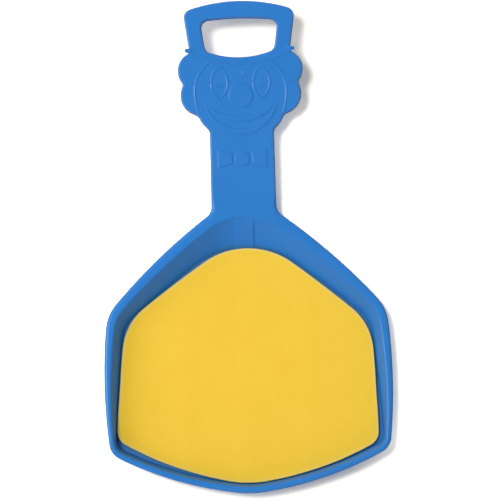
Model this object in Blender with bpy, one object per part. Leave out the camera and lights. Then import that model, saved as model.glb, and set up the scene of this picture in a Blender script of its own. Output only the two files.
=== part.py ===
"""Child's moulded hand sled: a hexagonal seat pan whose flat handle ends in a hat-shaped grip and
carries a traditional clown face in low relief, with a foam seat pad taped into the pan.

Frame: metres, +Z up, +Y from the pan towards the grip, origin in the middle of the footprint on
the ground. Plan sizes are written from the pan's rear corner: x across, y along.
"""
import bpy
import bmesh
from cmath import exp, phase
from itertools import pairwise
from math import acos, atan2, copysign, cos, pi, radians, sin, sqrt, tan
from collections import namedtuple
from mathutils.geometry import tessellate_polygon

# Walls and heights of the moulded shell
RIM_HEIGHT = 0.036            # ground to the top of the pan's rim
WALL = 0.0022                 # deck, bowl wall and floor
SKIRT_WALL = 0.0018           # the edge that hangs from the rim all round
SKIRT_DEPTH = 0.0095
SKIRT_DRAFT = 0.0003
LIP_PROUD = 0.0008            # small lip along the foot of the skirt
LIP_HEIGHT = 0.0012
LIP_SLOPE = 0.0004
TOP_ROUND = 0.0025            # radius where the rim turns down into the bowl
TOP_ROUND_UNDER = 0.0008
FLOOR_ROUND = 0.0030          # radius at the foot of the bowl's wall
CROWN_SHARE = 0.85            # share of the pan rim's free width that rolls down to the skirt
CROWN_DROP = 0.0022
HANDLE_ROUND = 0.0012         # edge radius along the handle

# Outline of the pan: half width, distances from the rear corner, and radii
REAR_FILLET, REAR_BOW = 0.120, 0.417
PAN_HALF, LOWER_Y, LOWER_FILLET, SIDE_BOW = 0.1621, 0.0499, 0.0214, 0.651
SHOULDER_NARROWER, SHOULDER_Y, SHOULDER_FILLET = 0.0003, 0.2112, 0.0514
DIAGONAL_BOW = 0.700

# Outline of the handle
NECK_FOOT_HALF, NECK_FOOT_Y, NECK_FOOT_FILLET = 0.0377, 0.3262, 0.0145
NECK_LENGTH = 0.0949
NECK_TOP_HALF, NECK_TOP_FILLET, CHIN_BOW = 0.0371, 0.0098, 0.032
JAW_HALF, JAW_RISE, JAW_FILLET, LOWER_LOBE = 0.0495, 0.0173, 0.0091, 0.0236
EAR_HALF, EAR_RISE, EAR_FILLET, UPPER_LOBE = 0.0658, 0.0537, 0.0068, 0.0220
HAT_FOOT_HALF, HAT_FOOT_RISE, HAT_FOOT_FILLET = 0.0579, 0.0897, 0.0040
HAT_TOP_HALF, HAT_HEIGHT, HAT_FILLET, HAT_BOW = 0.0646, 0.0473, 0.0103, 0.191
HANDLE_ANGLE = radians(4.6)
BEND_LENGTH = 0.028
BEND_BEFORE_NECK = 0.0062

# Finger gap through the hat: its corners are measured from the hat's foot
GAP_FOOT_HALF, GAP_FOOT_RISE, GAP_FOOT_FILLET, GAP_FOOT_BOW = 0.0396, 0.0017, 0.0089, 0.106
GAP_TOP_HALF, GAP_TOP_RISE, GAP_TOP_FILLET, GAP_TOP_BOW = 0.0444, 0.0352, 0.0083, 0.338

# Bowl opening: what the rim leaves inside the pan's outline
RIM_REAR = 0.0080
RIM_LOWER_X, RIM_LOWER_Y, OPEN_LOWER_FILLET = 0.0057, 0.0048, 0.0150
RIM_SHOULDER_X, RIM_SHOULDER_Y, OPEN_SHOULDER_FILLET = 0.0103, 0.0037, 0.0400
OPEN_SIDE_BOW = 0.578
OPEN_FRONT_RISE, OPEN_FRONT_FILLET = 0.0091, 0.068
RIM_DIAGONAL = 0.0125

# Bowl floor: how far the wall runs inwards on its way down
RUN_REAR = 0.0017
RUN_LOWER_X, RUN_LOWER_Y, FLOOR_LOWER_FILLET = 0.0003, 0.0028, 0.0150
RUN_SHOULDER_X, RUN_SHOULDER_Y, FLOOR_SHOULDER_FILLET = 0.0079, 0.0105, 0.0450
RUN_FRONT, FLOOR_FRONT_FILLET = 0.0301, 0.098
FLOOR_SIDE_BOW = 5.0
FLOOR_DIAGONAL_BOW = 1.2

# Shallow runner bands pressed into the floor, with grooves below them
BAND_HEIGHT = 0.0012
BAND_HALF, BAND_START = 0.0106, 0.018
SIDE_BAND_AT, SIDE_BAND_HALF, SIDE_BAND_START, SIDE_BAND_END = 0.071, 0.0080, 0.029, 0.232
BAND_SINK = 0.0009
BAND_STOP_BELOW_RIM = 0.006
GROOVE_INSET = 0.0010

# Seat pad and the tape that holds it; a gap below zero lies over the rounded foot of the wall
TOUCH_GAP = 0.0003
TAPE_THICK = 0.0005
TAPE_INSET = 0.0020
TAPE_START, TAPE_LENGTH = 0.045, 0.175
PAD_THICK = 0.0050
PAD_EDGE_ROUND = 0.0010
PAD_GAP_REAR, PAD_REAR_FILLET, PAD_REAR_BOW = 0.0005, 0.120, 0.395
PAD_GAP_LOWER_X, PAD_GAP_LOWER_Y, PAD_LOWER_FILLET = 0.0034, 0.0037, 0.0178
PAD_GAP_SHOULDER_X, PAD_GAP_SHOULDER_Y, PAD_SHOULDER_FILLET = -0.0002, 0.0015, 0.0697
PAD_GAP_FRONT, PAD_FRONT_FILLET = 0.0032, 0.0869
PAD_SKEW = radians(-1.56)     # the pad was laid in slightly turned

# Face and hat relief, measured from the neck's top like the head's outline
RELIEF_HEIGHT = 0.0007
RELIEF_SINK = 0.0012
RIDGE_WIDTH = 0.0016
FLANK, FLANK_MOST = 0.0006, 0.36   # sloping edge of a relief shape, and its most of the width
TIP_WIDTH = 0.0006
FACE_HALF, FACE_RISE, FACE_UP, FACE_DOWN = 0.0528, 0.0454, 0.0444, 0.0680
FACE_TOP_HALF, FACE_FOOT_HALF = 0.0344, 0.0485
EYE_AT, EYE_FOOT_RISE, EYE_LENGTH, EYE_HALF = 0.0242, 0.0354, 0.0375, 0.0094
EYE_PEG_RISE, EYE_PEG_FOOT, EYE_PEG_TIP, EYE_PEG_THICK = 0.0549, 0.0085, 0.0133, 0.0022
EYE_LID_RISE, EYE_LID_HALF, EYE_LID_THICK = 0.0505, 0.0051, 0.0014
NOSE_RISE, NOSE_RADIUS = 0.0392, 0.0139
LIP_UP_HALF, LIP_UP_ENDS, LIP_UP_TOP, LIP_UP_FOOT = 0.0380, 0.0274, 0.0156, 0.0093
LIP_LOW_HALF, LIP_LOW_ENDS, LIP_LOW_TOP, LIP_LOW_FOOT = 0.0408, 0.0293, 0.0010, -0.0056
CURL_START_HALF, CURL_START_RISE = 0.0640, 0.0542
CURL_END_HALF, CURL_END_RISE, CURL_RISE = 0.0532, 0.0519, 0.0026
GATE_RISE, GATE_RADIUS, GATE_WIDTH = 0.0658, 0.0036, 0.0012
GATE_TURN = radians(75)
BOW_OUTER_HALF, BOW_OUTER_TOP, BOW_OUTER_FOOT = 0.0283, -0.0227, -0.0441
BOW_INNER_HALF, BOW_INNER_TOP, BOW_INNER_FOOT = 0.0115, -0.0266, -0.0381
KNOT_RISE, KNOT_RADIUS = -0.0333, 0.0086
BRIM_HALF, BRIM_TIP_TOP, BRIM_TIP_FOOT = 0.0631, 0.0945, 0.0900
BRIM_MID_TOP, BRIM_MID_FOOT = 0.0784, 0.0750
BRIM_SINK = 0.0020

# Stiffening ribs under the neck
RIB_AT, RIB_THICK, RIB_DEPTH = 0.0200, 0.0016, 0.0080
RIB_START_AFTER_BEND, RIB_END_RISE, RIB_SINK = 0.004, 0.010, 0.0010

# How finely round stretches are divided
FILLET_STEPS = 6
SIDE_STEPS = 5
ROUND_STEPS = 3
RELIEF_STEPS = 10
DISC_STEPS = 24
RAY_STEPS = 24
BAND_STATIONS = 5
BEND_CUTS = 5
STRAIGHT = 100.0              # radius that stands for a straight side
SHARP_ANGLE = radians(35)
SAME_PLACE = 1e-7             # closer points count as one when the bend is cut
SAME_WAY = 1e-12              # a ray that crosses a side by less runs along it

# Colours (linear) and roughness of the three materials
BLUE_PLASTIC = (0.0245, 0.204, 0.606), 0.36
YELLOW_FOAM = (0.925, 0.600, 0.048), 0.90
CLEAR_TAPE = (0.80, 0.78, 0.70), 0.45

# Places that follow from the sizes above
SHOULDER_HALF = PAN_HALF - SHOULDER_NARROWER
HEAD_Y = NECK_FOOT_Y + NECK_LENGTH
HAT_Y = HEAD_Y + HAT_FOOT_RISE
BEND_START = NECK_FOOT_Y - BEND_BEFORE_NECK
FLOOR_TOP = WALL
BOWL_DEPTH = RIM_HEIGHT - FLOOR_TOP
TAPE_Z = FLOOR_TOP + BAND_HEIGHT + TOUCH_GAP
PAD_Z = TAPE_Z + TAPE_THICK + TOUCH_GAP

Corner = namedtuple("Corner", "x y fillet bow")


def mirrored(right):
    """Whole counter-clockwise outline from its right half; a corner's bow is its next side's."""
    left = []
    for before, corner in reversed(list(pairwise(right))):
        if corner.x > 0:
            left.append(Corner(-corner.x, corner.y, corner.fillet, before.bow))
    return right + left


def centre_of(start, end, radius):
    """Centre of the arc from start to end, on the left of the way if the radius is positive."""
    half = (end - start) / 2
    rise = sqrt(max(radius ** 2 - abs(half) ** 2, 0.0))
    return start + half + 1j * copysign(rise, radius) * half / abs(half)


def fillet_of(corner, before, after, bow_in, bow_out, radius):
    """Centre, side (1 left turn, -1 right turn) and ends of the fillet between two arcs."""
    heading_in = 1j * (corner - before) * copysign(1, bow_in)
    heading_out = 1j * (corner - after) * copysign(1, bow_out)
    side = copysign(1, (heading_in.conjugate() * heading_out).imag)
    reach_in = bow_in - side * radius
    reach_out = bow_out - side * radius
    gap = after - before
    along = (abs(gap) ** 2 + reach_in ** 2 - reach_out ** 2) / (2 * abs(gap))
    aside = sqrt(max(reach_in ** 2 - along ** 2, 0.0))
    both = [before + gap / abs(gap) * complex(along, s) for s in (aside, -aside)]
    centre = min(both, key=lambda point: abs(point - corner))
    first = before + (centre - before) * bow_in / reach_in
    last = after + (centre - after) * bow_out / reach_out
    return centre, side, first, last


def arc(centre, start, end, steps):
    """Points from start up to, but not including, end, with the unit spokes they lie on."""
    spoke = start - centre
    turn = phase((end - centre) / spoke)
    spokes = [spoke * exp(1j * turn * i / steps) for i in range(steps)]
    return [(centre + s, s / abs(s)) for s in spokes]


def outline(corners, fillet_steps=FILLET_STEPS, side_steps=SIDE_STEPS):
    """Plan points and outward unit normals, as complex numbers, of a filleted outline."""
    points = [complex(c.x, c.y) for c in corners]
    bows = [c.bow or STRAIGHT for c in corners]
    count = len(corners)
    centres = [centre_of(points[i], points[(i + 1) % count], bows[i]) for i in range(count)]
    fillets = [fillet_of(points[i], centres[i - 1], centres[i], bows[i - 1], bows[i],
                         corners[i].fillet) for i in range(count)]
    spots = []
    for i, (centre, side, first, last) in enumerate(fillets):
        spots += [(p, side * s) for p, s in arc(centre, first, last, fillet_steps)]
        steps = side_steps if corners[i].bow else 1
        following = fillets[(i + 1) % count][2]
        spots += [(p, copysign(1, bows[i]) * s) for p, s in arc(centres[i], last, following, steps)]
    return [p for p, s in spots], [s for p, s in spots]


def silhouette_corners():
    return mirrored([
        Corner(0, 0, REAR_FILLET, REAR_BOW),
        Corner(PAN_HALF, LOWER_Y, LOWER_FILLET, SIDE_BOW),
        Corner(SHOULDER_HALF, SHOULDER_Y, SHOULDER_FILLET, DIAGONAL_BOW),
        Corner(NECK_FOOT_HALF, NECK_FOOT_Y, NECK_FOOT_FILLET, 0),
        Corner(NECK_TOP_HALF, HEAD_Y, NECK_TOP_FILLET, CHIN_BOW),
        Corner(JAW_HALF, HEAD_Y + JAW_RISE, JAW_FILLET, LOWER_LOBE),
        Corner(EAR_HALF, HEAD_Y + EAR_RISE, EAR_FILLET, UPPER_LOBE),
        Corner(HAT_FOOT_HALF, HAT_Y, HAT_FOOT_FILLET, 0),
        Corner(HAT_TOP_HALF, HAT_Y + HAT_HEIGHT, HAT_FILLET, HAT_BOW),
    ])


def opening_corners():
    return mirrored([
        Corner(0, RIM_REAR, REAR_FILLET, REAR_BOW - RIM_REAR),
        Corner(PAN_HALF - RIM_LOWER_X, LOWER_Y + RIM_LOWER_Y, OPEN_LOWER_FILLET, OPEN_SIDE_BOW),
        Corner(SHOULDER_HALF - RIM_SHOULDER_X, SHOULDER_Y - RIM_SHOULDER_Y, OPEN_SHOULDER_FILLET,
               DIAGONAL_BOW - RIM_DIAGONAL),
        Corner(0, NECK_FOOT_Y + OPEN_FRONT_RISE, OPEN_FRONT_FILLET, DIAGONAL_BOW - RIM_DIAGONAL),
    ])


def floor_corners():
    """Foot of the bowl's wall: the opening's corners moved inwards by the wall's run."""
    rear, lower, shoulder, front = opening_corners()[:4]
    return mirrored([
        Corner(0, rear.y + RUN_REAR, REAR_FILLET, rear.bow - RUN_REAR),
        Corner(lower.x - RUN_LOWER_X, lower.y + RUN_LOWER_Y, FLOOR_LOWER_FILLET, FLOOR_SIDE_BOW),
        Corner(shoulder.x - RUN_SHOULDER_X, shoulder.y - RUN_SHOULDER_Y, FLOOR_SHOULDER_FILLET,
               FLOOR_DIAGONAL_BOW),
        Corner(0, front.y - RUN_FRONT, FLOOR_FRONT_FILLET, FLOOR_DIAGONAL_BOW),
    ])


def pad_corners():
    """The pad's cut outline: the floor's corners moved inwards by the gaps left round it."""
    rear, lower, shoulder, front = floor_corners()[:4]
    return mirrored([
        Corner(0, rear.y + PAD_GAP_REAR, PAD_REAR_FILLET, PAD_REAR_BOW),
        Corner(lower.x - PAD_GAP_LOWER_X, lower.y + PAD_GAP_LOWER_Y, PAD_LOWER_FILLET,
               FLOOR_SIDE_BOW),
        Corner(shoulder.x - PAD_GAP_SHOULDER_X, shoulder.y - PAD_GAP_SHOULDER_Y,
               PAD_SHOULDER_FILLET, FLOOR_DIAGONAL_BOW),
        Corner(0, front.y - PAD_GAP_FRONT, PAD_FRONT_FILLET, FLOOR_DIAGONAL_BOW),
    ])


def gap_corners():
    foot = HAT_Y + GAP_FOOT_RISE
    top = HAT_Y + GAP_TOP_RISE
    return [
        Corner(GAP_FOOT_HALF, foot, GAP_FOOT_FILLET, 0),
        Corner(GAP_TOP_HALF, top, GAP_TOP_FILLET, GAP_TOP_BOW),
        Corner(-GAP_TOP_HALF, top, GAP_TOP_FILLET, 0),
        Corner(-GAP_FOOT_HALF, foot, GAP_FOOT_FILLET, GAP_FOOT_BOW),
    ]


def bow_path(start, end, rise, steps=RELIEF_STEPS):
    """Plan points, ends included, on the arc whose middle lies rise to the left of the chord."""
    half = abs(end - start) / 2
    radius = -copysign((half ** 2 + rise ** 2) / (2 * abs(rise)), rise)
    centre = centre_of(start, end, radius)
    return [p for p, _ in arc(centre, start, end, steps)] + [end]


def inset(points, normals, amounts):
    """A loop moved inwards by one amount, or by one for each point."""
    if not isinstance(amounts, list):
        amounts = [amounts] * len(points)
    return [p - n * a for p, n, a in zip(points, normals, amounts)]


def rise_at(y):
    """How far the handle stands above the pan's rim level at this distance along."""
    past = max(y - BEND_START, 0.0)
    if past < BEND_LENGTH:
        return tan(HANDLE_ANGLE) * past ** 2 / (2 * BEND_LENGTH)
    return tan(HANDLE_ANGLE) * (past - BEND_LENGTH / 2)


def ring(bm, plan, height):
    return [bm.verts.new((p.real, p.imag, height)) for p in plan]


def bridge(bm, rings):
    """Quads between each closed loop and the next, which has as many vertices."""
    for low, high in pairwise(rings):
        for i in range(len(low)):
            bm.faces.new((low[i - 1], low[i], high[i], high[i - 1]))


def cap(bm, *loops):
    """Flat face inside the first loop and outside the others."""
    verts = [v for loop in loops for v in loop]
    for corners in tessellate_polygon([[v.co for v in loop] for loop in loops]):
        bm.faces.new([verts[i] for i in corners])


def lift(bm):
    """Cut the mesh across the bend and raise everything beyond its start."""
    for i in range(BEND_CUTS):
        cut = BEND_START + BEND_LENGTH * i / (BEND_CUTS - 1)
        bmesh.ops.bisect_plane(bm, geom=bm.verts[:] + bm.edges[:] + bm.faces[:],
                               dist=SAME_PLACE, plane_co=(0, cut, 0), plane_no=(0, 1, 0))
    for vert in bm.verts:
        vert.co.z += rise_at(vert.co.y)


def finish(bm, name, parent, material=None, guide=False):
    """Turn the mesh into a named object under the sled's frame."""
    bmesh.ops.recalc_face_normals(bm, faces=bm.faces[:])
    mesh = bpy.data.meshes.new(name)
    bm.to_mesh(mesh)
    bm.free()
    obj = bpy.data.objects.new(name, mesh)
    obj.parent = parent
    if guide:
        obj.hide_render = True
        obj.display_type = "WIRE"
    else:
        mesh.materials.append(material)
        mesh.shade_smooth()
        mesh.set_sharp_from_angle(angle=SHARP_ANGLE)
        bpy.context.scene.collection.objects.link(obj)
    return obj


def plastic(name, colour, roughness):
    material = bpy.data.materials.new(name)
    material.use_nodes = True
    shader = material.node_tree.nodes["Principled BSDF"]
    shader.inputs["Base Color"].default_value = (*colour, 1.0)
    shader.inputs["Roughness"].default_value = roughness
    shader.inputs["Metallic"].default_value = 0.0
    return material


def wall_section(run, shift, top_round, foot_round):
    """(inwards, up) points of the bowl's section, from the deck over the wall to the floor.

    It is drawn a distance of shift off the visible surface, negative on the underside.
    """
    slope = atan2(BOWL_DEPTH, run)
    half_tan = tan(slope / 2)
    top_x, top_z = shift * half_tan, RIM_HEIGHT + shift
    foot_x, foot_z = top_x + run, top_z - BOWL_DEPTH
    points = []
    for i in range(ROUND_STEPS + 1):
        turn = slope * i / ROUND_STEPS
        points.append((top_x - top_round * (half_tan - sin(turn)),
                       top_z - top_round * (1 - cos(turn))))
    for i in range(ROUND_STEPS + 1):
        turn = slope * (1 - i / ROUND_STEPS)
        points.append((foot_x + foot_round * (half_tan - sin(turn)),
                       foot_z + foot_round * (1 - cos(turn))))
    return points


def hit(start, direction, loop):
    """Distance from start along the direction to the nearest side of a closed loop."""
    best = None
    for a, b in zip(loop, loop[1:] + loop[:1]):
        side = b - a
        across = (direction.conjugate() * side).imag
        if abs(across) < SAME_WAY:
            continue
        along = ((a - start).conjugate() * side).imag / across
        share = ((a - start).conjugate() * direction).imag / across
        if 0 <= share <= 1 and along > 0 and (best is None or along < best):
            best = along
    return best


def bowl_rings(bm, shift, top_round, foot_round):
    """Loops of one side of the bowl, from the deck down to the floor."""
    rim, normals = outline(opening_corners())
    floor, _ = outline(floor_corners(), RAY_STEPS, RAY_STEPS)
    runs = [hit(p, -n, floor) for p, n in zip(rim, normals)]
    sections = [wall_section(run, shift, top_round, foot_round) for run in runs]
    rings = []
    for level in range(len(sections[0])):
        spots = [p - n * section[level][0] for p, n, section in zip(rim, normals, sections)]
        rings.append([bm.verts.new((spot.real, spot.imag, section[level][1]))
                      for spot, section in zip(spots, sections)])
    return rings


def edge_rounds(points):
    """How far the deck's edge rolls at each silhouette point: wide on the pan, tight beyond."""
    rim, _ = outline(opening_corners(), RAY_STEPS, RAY_STEPS)
    rounds = []
    for p in points:
        width = min(min(abs(p - q) for q in rim), RIM_DIAGONAL)
        free = width - LIP_PROUD - SKIRT_DRAFT - TOP_ROUND
        share = min(max((p.imag - BEND_START) / BEND_LENGTH, 0.0), 1.0)
        ease = share ** 2 * (3 - 2 * share)
        rounds.append((1 - ease) * CROWN_SHARE * free + ease * HANDLE_ROUND)
    return rounds


def skirt_rings(bm, points, normals, rounds):
    """Outer loops from the foot of the skirt to the deck, and inner loops back to its underside.

    The rounds are negative around a hole, where the plastic lies outside the outline.
    """
    way = copysign(1, rounds[0])
    foot = RIM_HEIGHT - SKIRT_DEPTH
    lip_top = foot + LIP_HEIGHT
    lip = way * LIP_PROUD
    skirt = way * (LIP_PROUD + SKIRT_DRAFT)
    inside = way * (LIP_PROUD + SKIRT_WALL)
    outer = [ring(bm, points, foot), ring(bm, points, lip_top),
             ring(bm, inset(points, normals, lip), lip_top + LIP_SLOPE)]
    for i in range(ROUND_STEPS + 1):
        turn = pi / 2 * i / ROUND_STEPS
        moves = [skirt + r * (1 - cos(turn)) for r in rounds]
        outer.append(ring(bm, inset(points, normals, moves),
                          RIM_HEIGHT - CROWN_DROP * (1 - sin(turn))))
    inner = [ring(bm, inset(points, normals, inside), foot),
             ring(bm, inset(points, normals, inside + way * SKIRT_DRAFT), RIM_HEIGHT - WALL)]
    return outer, inner


def shell_mesh():
    """The moulded shell before its bands, grooves and relief."""
    bm = bmesh.new()
    points, normals = outline(silhouette_corners())
    outer, inner = skirt_rings(bm, points, normals, edge_rounds(points))
    hole, hole_normals = outline(gap_corners())
    hole_outer, hole_inner = skirt_rings(bm, hole, hole_normals, [-HANDLE_ROUND] * len(hole))
    top = bowl_rings(bm, 0.0, TOP_ROUND, FLOOR_ROUND)
    under = bowl_rings(bm, -WALL, TOP_ROUND_UNDER, FLOOR_ROUND + WALL)
    for outside, inside in ((outer, inner), (hole_outer, hole_inner)):
        bridge(bm, outside)
        bridge(bm, [outside[0]] + inside)
    bridge(bm, top)
    bridge(bm, under)
    cap(bm, outer[-1], hole_outer[-1], top[0])
    cap(bm, inner[-1], hole_inner[-1], under[0])
    cap(bm, top[-1])
    cap(bm, under[-1])
    lift(bm)
    return bm


def front_of(corners, x):
    """Distance along of a bowl outline's front at this distance across."""
    loop, _ = outline(corners, RAY_STEPS, RAY_STEPS)
    start = complex(x, (LOWER_Y + SHOULDER_Y) / 2)
    return start.imag + hit(start, 1j, loop)


def band_path(x, shift, start, end):
    """(along, up) points of a line on the bowl, shift off its surface; no end runs up the front."""
    floor = FLOOR_TOP + shift
    if end:
        return [(start, floor), (end, floor)]
    top = front_of(opening_corners(), x)
    run = top - front_of(floor_corners(), x)
    section = wall_section(run, shift, TOP_ROUND, FLOOR_ROUND - shift)
    foot = [(top - inwards, up) for inwards, up in reversed(section[ROUND_STEPS + 1:])]
    stop = RIM_HEIGHT - BAND_STOP_BELOW_RIM
    wall_x = shift * tan(atan2(BOWL_DEPTH, run) / 2)
    stop_x = wall_x + (RIM_HEIGHT + shift - stop) * run / BOWL_DEPTH
    return [(start, floor)] + foot + [(top - stop_x, stop)]


def band(name, middle, half, low, high, start, end=None):
    """Solid between two lines laid along the bowl, low and high off its surface."""
    bm = bmesh.new()
    rings = []
    for i in range(BAND_STATIONS):
        x = middle + half * (2 * i / (BAND_STATIONS - 1) - 1)
        path = band_path(x, low, start, end) + band_path(x, high, start, end)[::-1]
        rings.append([bm.verts.new((x, y, z)) for y, z in path])
    bridge(bm, rings)
    bm.faces.new(rings[0])
    bm.faces.new(rings[-1])
    return name, bm


def bands():
    """The three raised bands and the three grooves that mirror them below."""
    raised, cut = [], []
    spots = (("left", -SIDE_BAND_AT, SIDE_BAND_HALF, SIDE_BAND_START, SIDE_BAND_END),
             ("centre", 0.0, BAND_HALF, BAND_START, None),
             ("right", SIDE_BAND_AT, SIDE_BAND_HALF, SIDE_BAND_START, SIDE_BAND_END))
    for side, middle, half, start, end in spots:
        raised.append(band("band_" + side, middle, half, -BAND_SINK, BAND_HEIGHT, start, end))
        cut.append(band("groove_" + side, middle, half - GROOVE_INSET, -WALL - BAND_HEIGHT,
                        BAND_HEIGHT - WALL, start + GROOVE_INSET, end and end - GROOVE_INSET))
    return raised, cut


def between(name, left, right, sink=RELIEF_SINK):
    """Low relief between two plan paths of as many points, with flanks that slope in."""
    bm = bmesh.new()
    rings = []
    for a, b in zip(left, right):
        flank = (b - a) * min(FLANK / abs(b - a), FLANK_MOST)
        section = ((a, -sink), (b, -sink), (b - flank, RELIEF_HEIGHT), (a + flank, RELIEF_HEIGHT))
        rings.append([bm.verts.new((p.real, p.imag, RIM_HEIGHT + up)) for p, up in section])
    bridge(bm, rings)
    bm.faces.new(rings[0])
    bm.faces.new(rings[-1])
    return name, bm


def ridge(name, path, width=RIDGE_WIDTH):
    """Moulded line of one width along a plan path."""
    left, right = [], []
    for i, spot in enumerate(path):
        before = path[max(i - 1, 0)]
        after = path[min(i + 1, len(path) - 1)]
        across = 1j * (after - before) / abs(after - before) * width / 2
        left.append(spot + across)
        right.append(spot - across)
    return between(name, left, right)


def plate(name, loop):
    """Raised flat shape inside a plan loop, which runs counter-clockwise."""
    bm = bmesh.new()
    middle = sum(loop) / len(loop)
    reach = min(abs(p - middle) for p in loop)
    top = [middle + (p - middle) * (1 - FLANK / reach) for p in loop]
    rings = [ring(bm, loop, RIM_HEIGHT - RELIEF_SINK), ring(bm, top, RIM_HEIGHT + RELIEF_HEIGHT)]
    bridge(bm, rings)
    bm.faces.new(rings[0])
    bm.faces.new(rings[-1])
    return name, bm


def disc(centre, radius):
    return [centre + radius * exp(2j * pi * i / DISC_STEPS) for i in range(DISC_STEPS)]


def on_head(x, rise):
    """Plan point at a height above the neck's top."""
    return complex(x, HEAD_Y + rise)


def gate():
    """The side of the moulding gate's ring that stands out, at its right."""
    return [on_head(0, GATE_RISE) + GATE_RADIUS * exp(1j * GATE_TURN * (2 * i / RELIEF_STEPS - 1))
            for i in range(RELIEF_STEPS + 1)]


def crescent(name, half, ends, top, foot):
    """Relief between two arcs that meet in narrow tips left and right."""
    upper = bow_path(on_head(-half, ends + TIP_WIDTH), on_head(half, ends + TIP_WIDTH),
                     top - ends - TIP_WIDTH)
    lower = bow_path(on_head(-half, ends), on_head(half, ends), foot - ends)
    return between(name, upper, lower)


def spindle(name, middle, half, thick):
    """Narrow pointed bar, for the lid of an eye."""
    tip = TIP_WIDTH / 2 * 1j
    upper = bow_path(middle - half + tip, middle + half + tip, thick / 2)
    lower = bow_path(middle - half - tip, middle + half - tip, -thick / 2)
    return between(name, upper, lower)


def peg(name, foot, tip):
    """Short pointed ridge that stands out from an eye's arc."""
    wide, narrow = EYE_PEG_THICK / 2 * 1j, TIP_WIDTH / 2 * 1j
    return between(name, [foot + wide, tip + narrow], [foot - wide, tip - narrow])


def eye(side, at):
    """Two arcs that meet above and below, a peg out of each, and a short lid between them."""
    foot = on_head(at, EYE_FOOT_RISE)
    top = foot + 1j * EYE_LENGTH
    shapes = [
        ridge("eye_right_arc_" + side, bow_path(foot, top, -EYE_HALF)),
        ridge("eye_left_arc_" + side, bow_path(foot, top, EYE_HALF)),
        spindle("eye_lid_" + side, on_head(at, EYE_LID_RISE), EYE_LID_HALF, EYE_LID_THICK),
    ]
    for end, way in (("left", -1), ("right", 1)):
        shapes.append(peg("eye_" + end + "_peg_" + side,
                          on_head(at + way * EYE_PEG_FOOT, EYE_PEG_RISE),
                          on_head(at + way * EYE_PEG_TIP, EYE_PEG_RISE)))
    return shapes


def cheek(side, way):
    """One side of the face's oval, from under the brim to the jaw, and the curl beside it."""
    start = acos(FACE_TOP_HALF / FACE_HALF)
    end = -acos(FACE_FOOT_HALF / FACE_HALF)
    path = []
    for i in range(RELIEF_STEPS + 1):
        turn = start + (end - start) * i / RELIEF_STEPS
        reach = FACE_UP if turn > 0 else FACE_DOWN
        path.append(on_head(way * FACE_HALF * cos(turn), FACE_RISE + reach * sin(turn)))
    curl_start = on_head(way * CURL_START_HALF, CURL_START_RISE)
    curl_end = on_head(way * CURL_END_HALF, CURL_END_RISE)
    curl = bow_path(curl_start, curl_end, -way * CURL_RISE, RELIEF_STEPS // 2)
    return [ridge("cheek_" + side, path), ridge("curl_" + side, curl)]


def bow_tie(side, way):
    corners = [on_head(way * BOW_INNER_HALF, BOW_INNER_FOOT),
               on_head(way * BOW_OUTER_HALF, BOW_OUTER_FOOT),
               on_head(way * BOW_OUTER_HALF, BOW_OUTER_TOP),
               on_head(way * BOW_INNER_HALF, BOW_INNER_TOP)]
    return plate("bow_" + side, corners[::way])


def brim():
    """The hat's curved brim, whose tips stand out past the head."""
    upper = bow_path(on_head(-BRIM_HALF, BRIM_TIP_TOP), on_head(BRIM_HALF, BRIM_TIP_TOP),
                     BRIM_MID_TOP - BRIM_TIP_TOP, 2 * RELIEF_STEPS)
    lower = bow_path(on_head(-BRIM_HALF, BRIM_TIP_FOOT), on_head(BRIM_HALF, BRIM_TIP_FOOT),
                     BRIM_MID_FOOT - BRIM_TIP_FOOT, 2 * RELIEF_STEPS)
    return between("brim", upper, lower, sink=BRIM_SINK)


def rib(side, at):
    """Stiffener along the underside of the neck."""
    bm = bmesh.new()
    start = BEND_START + BEND_LENGTH + RIB_START_AFTER_BEND
    end = HEAD_Y + RIB_END_RISE
    half = RIB_THICK / 2
    plan = [complex(at - half, start), complex(at + half, start),
            complex(at + half, end), complex(at - half, end)]
    top = RIM_HEIGHT - WALL + RIB_SINK
    rings = [ring(bm, plan, top - RIB_SINK - RIB_DEPTH), ring(bm, plan, top)]
    bridge(bm, rings)
    bm.faces.new(rings[0])
    bm.faces.new(rings[-1])
    return "rib_" + side, bm


def relief():
    """Everything moulded on the handle's deck, and the ribs below it."""
    shapes = [brim(), plate("nose", disc(on_head(0, NOSE_RISE), NOSE_RADIUS)),
              plate("knot", disc(on_head(0, KNOT_RISE), KNOT_RADIUS)),
              ridge("gate", gate(), GATE_WIDTH),
              crescent("lip_upper", LIP_UP_HALF, LIP_UP_ENDS, LIP_UP_TOP, LIP_UP_FOOT),
              crescent("lip_lower", LIP_LOW_HALF, LIP_LOW_ENDS, LIP_LOW_TOP, LIP_LOW_FOOT)]
    for side, way in (("left", -1), ("right", 1)):
        shapes += eye(side, way * EYE_AT) + cheek(side, way)
        shapes += [bow_tie(side, way), rib(side, way * RIB_AT)]
    for _, bm in shapes:
        lift(bm)
    return shapes


def gather(name, shapes, parent):
    """Helper solids in a collection of their own, kept out of the render."""
    group = bpy.data.collections.new(name)
    bpy.context.scene.collection.children.link(group)
    group.hide_render = True
    for shape, bm in shapes:
        group.objects.link(finish(bm, shape, parent, guide=True))
    return group


def boolean(obj, name, operation, group):
    modifier = obj.modifiers.new(name, "BOOLEAN")
    modifier.operation = operation
    modifier.solver = "EXACT"
    modifier.operand_type = "COLLECTION"
    modifier.collection = group


def make_shell(frame):
    """The one-piece moulded body."""
    material = plastic("blue moulded plastic", *BLUE_PLASTIC)
    shell = finish(shell_mesh(), "shell", frame, material)
    raised, cut = bands()
    boolean(shell, "Raised bands", "UNION", gather("Bands", raised, frame))
    boolean(shell, "Grooves", "DIFFERENCE", gather("Groove cutters", cut, frame))
    boolean(shell, "Relief", "UNION", gather("Relief", relief(), frame))


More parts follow.
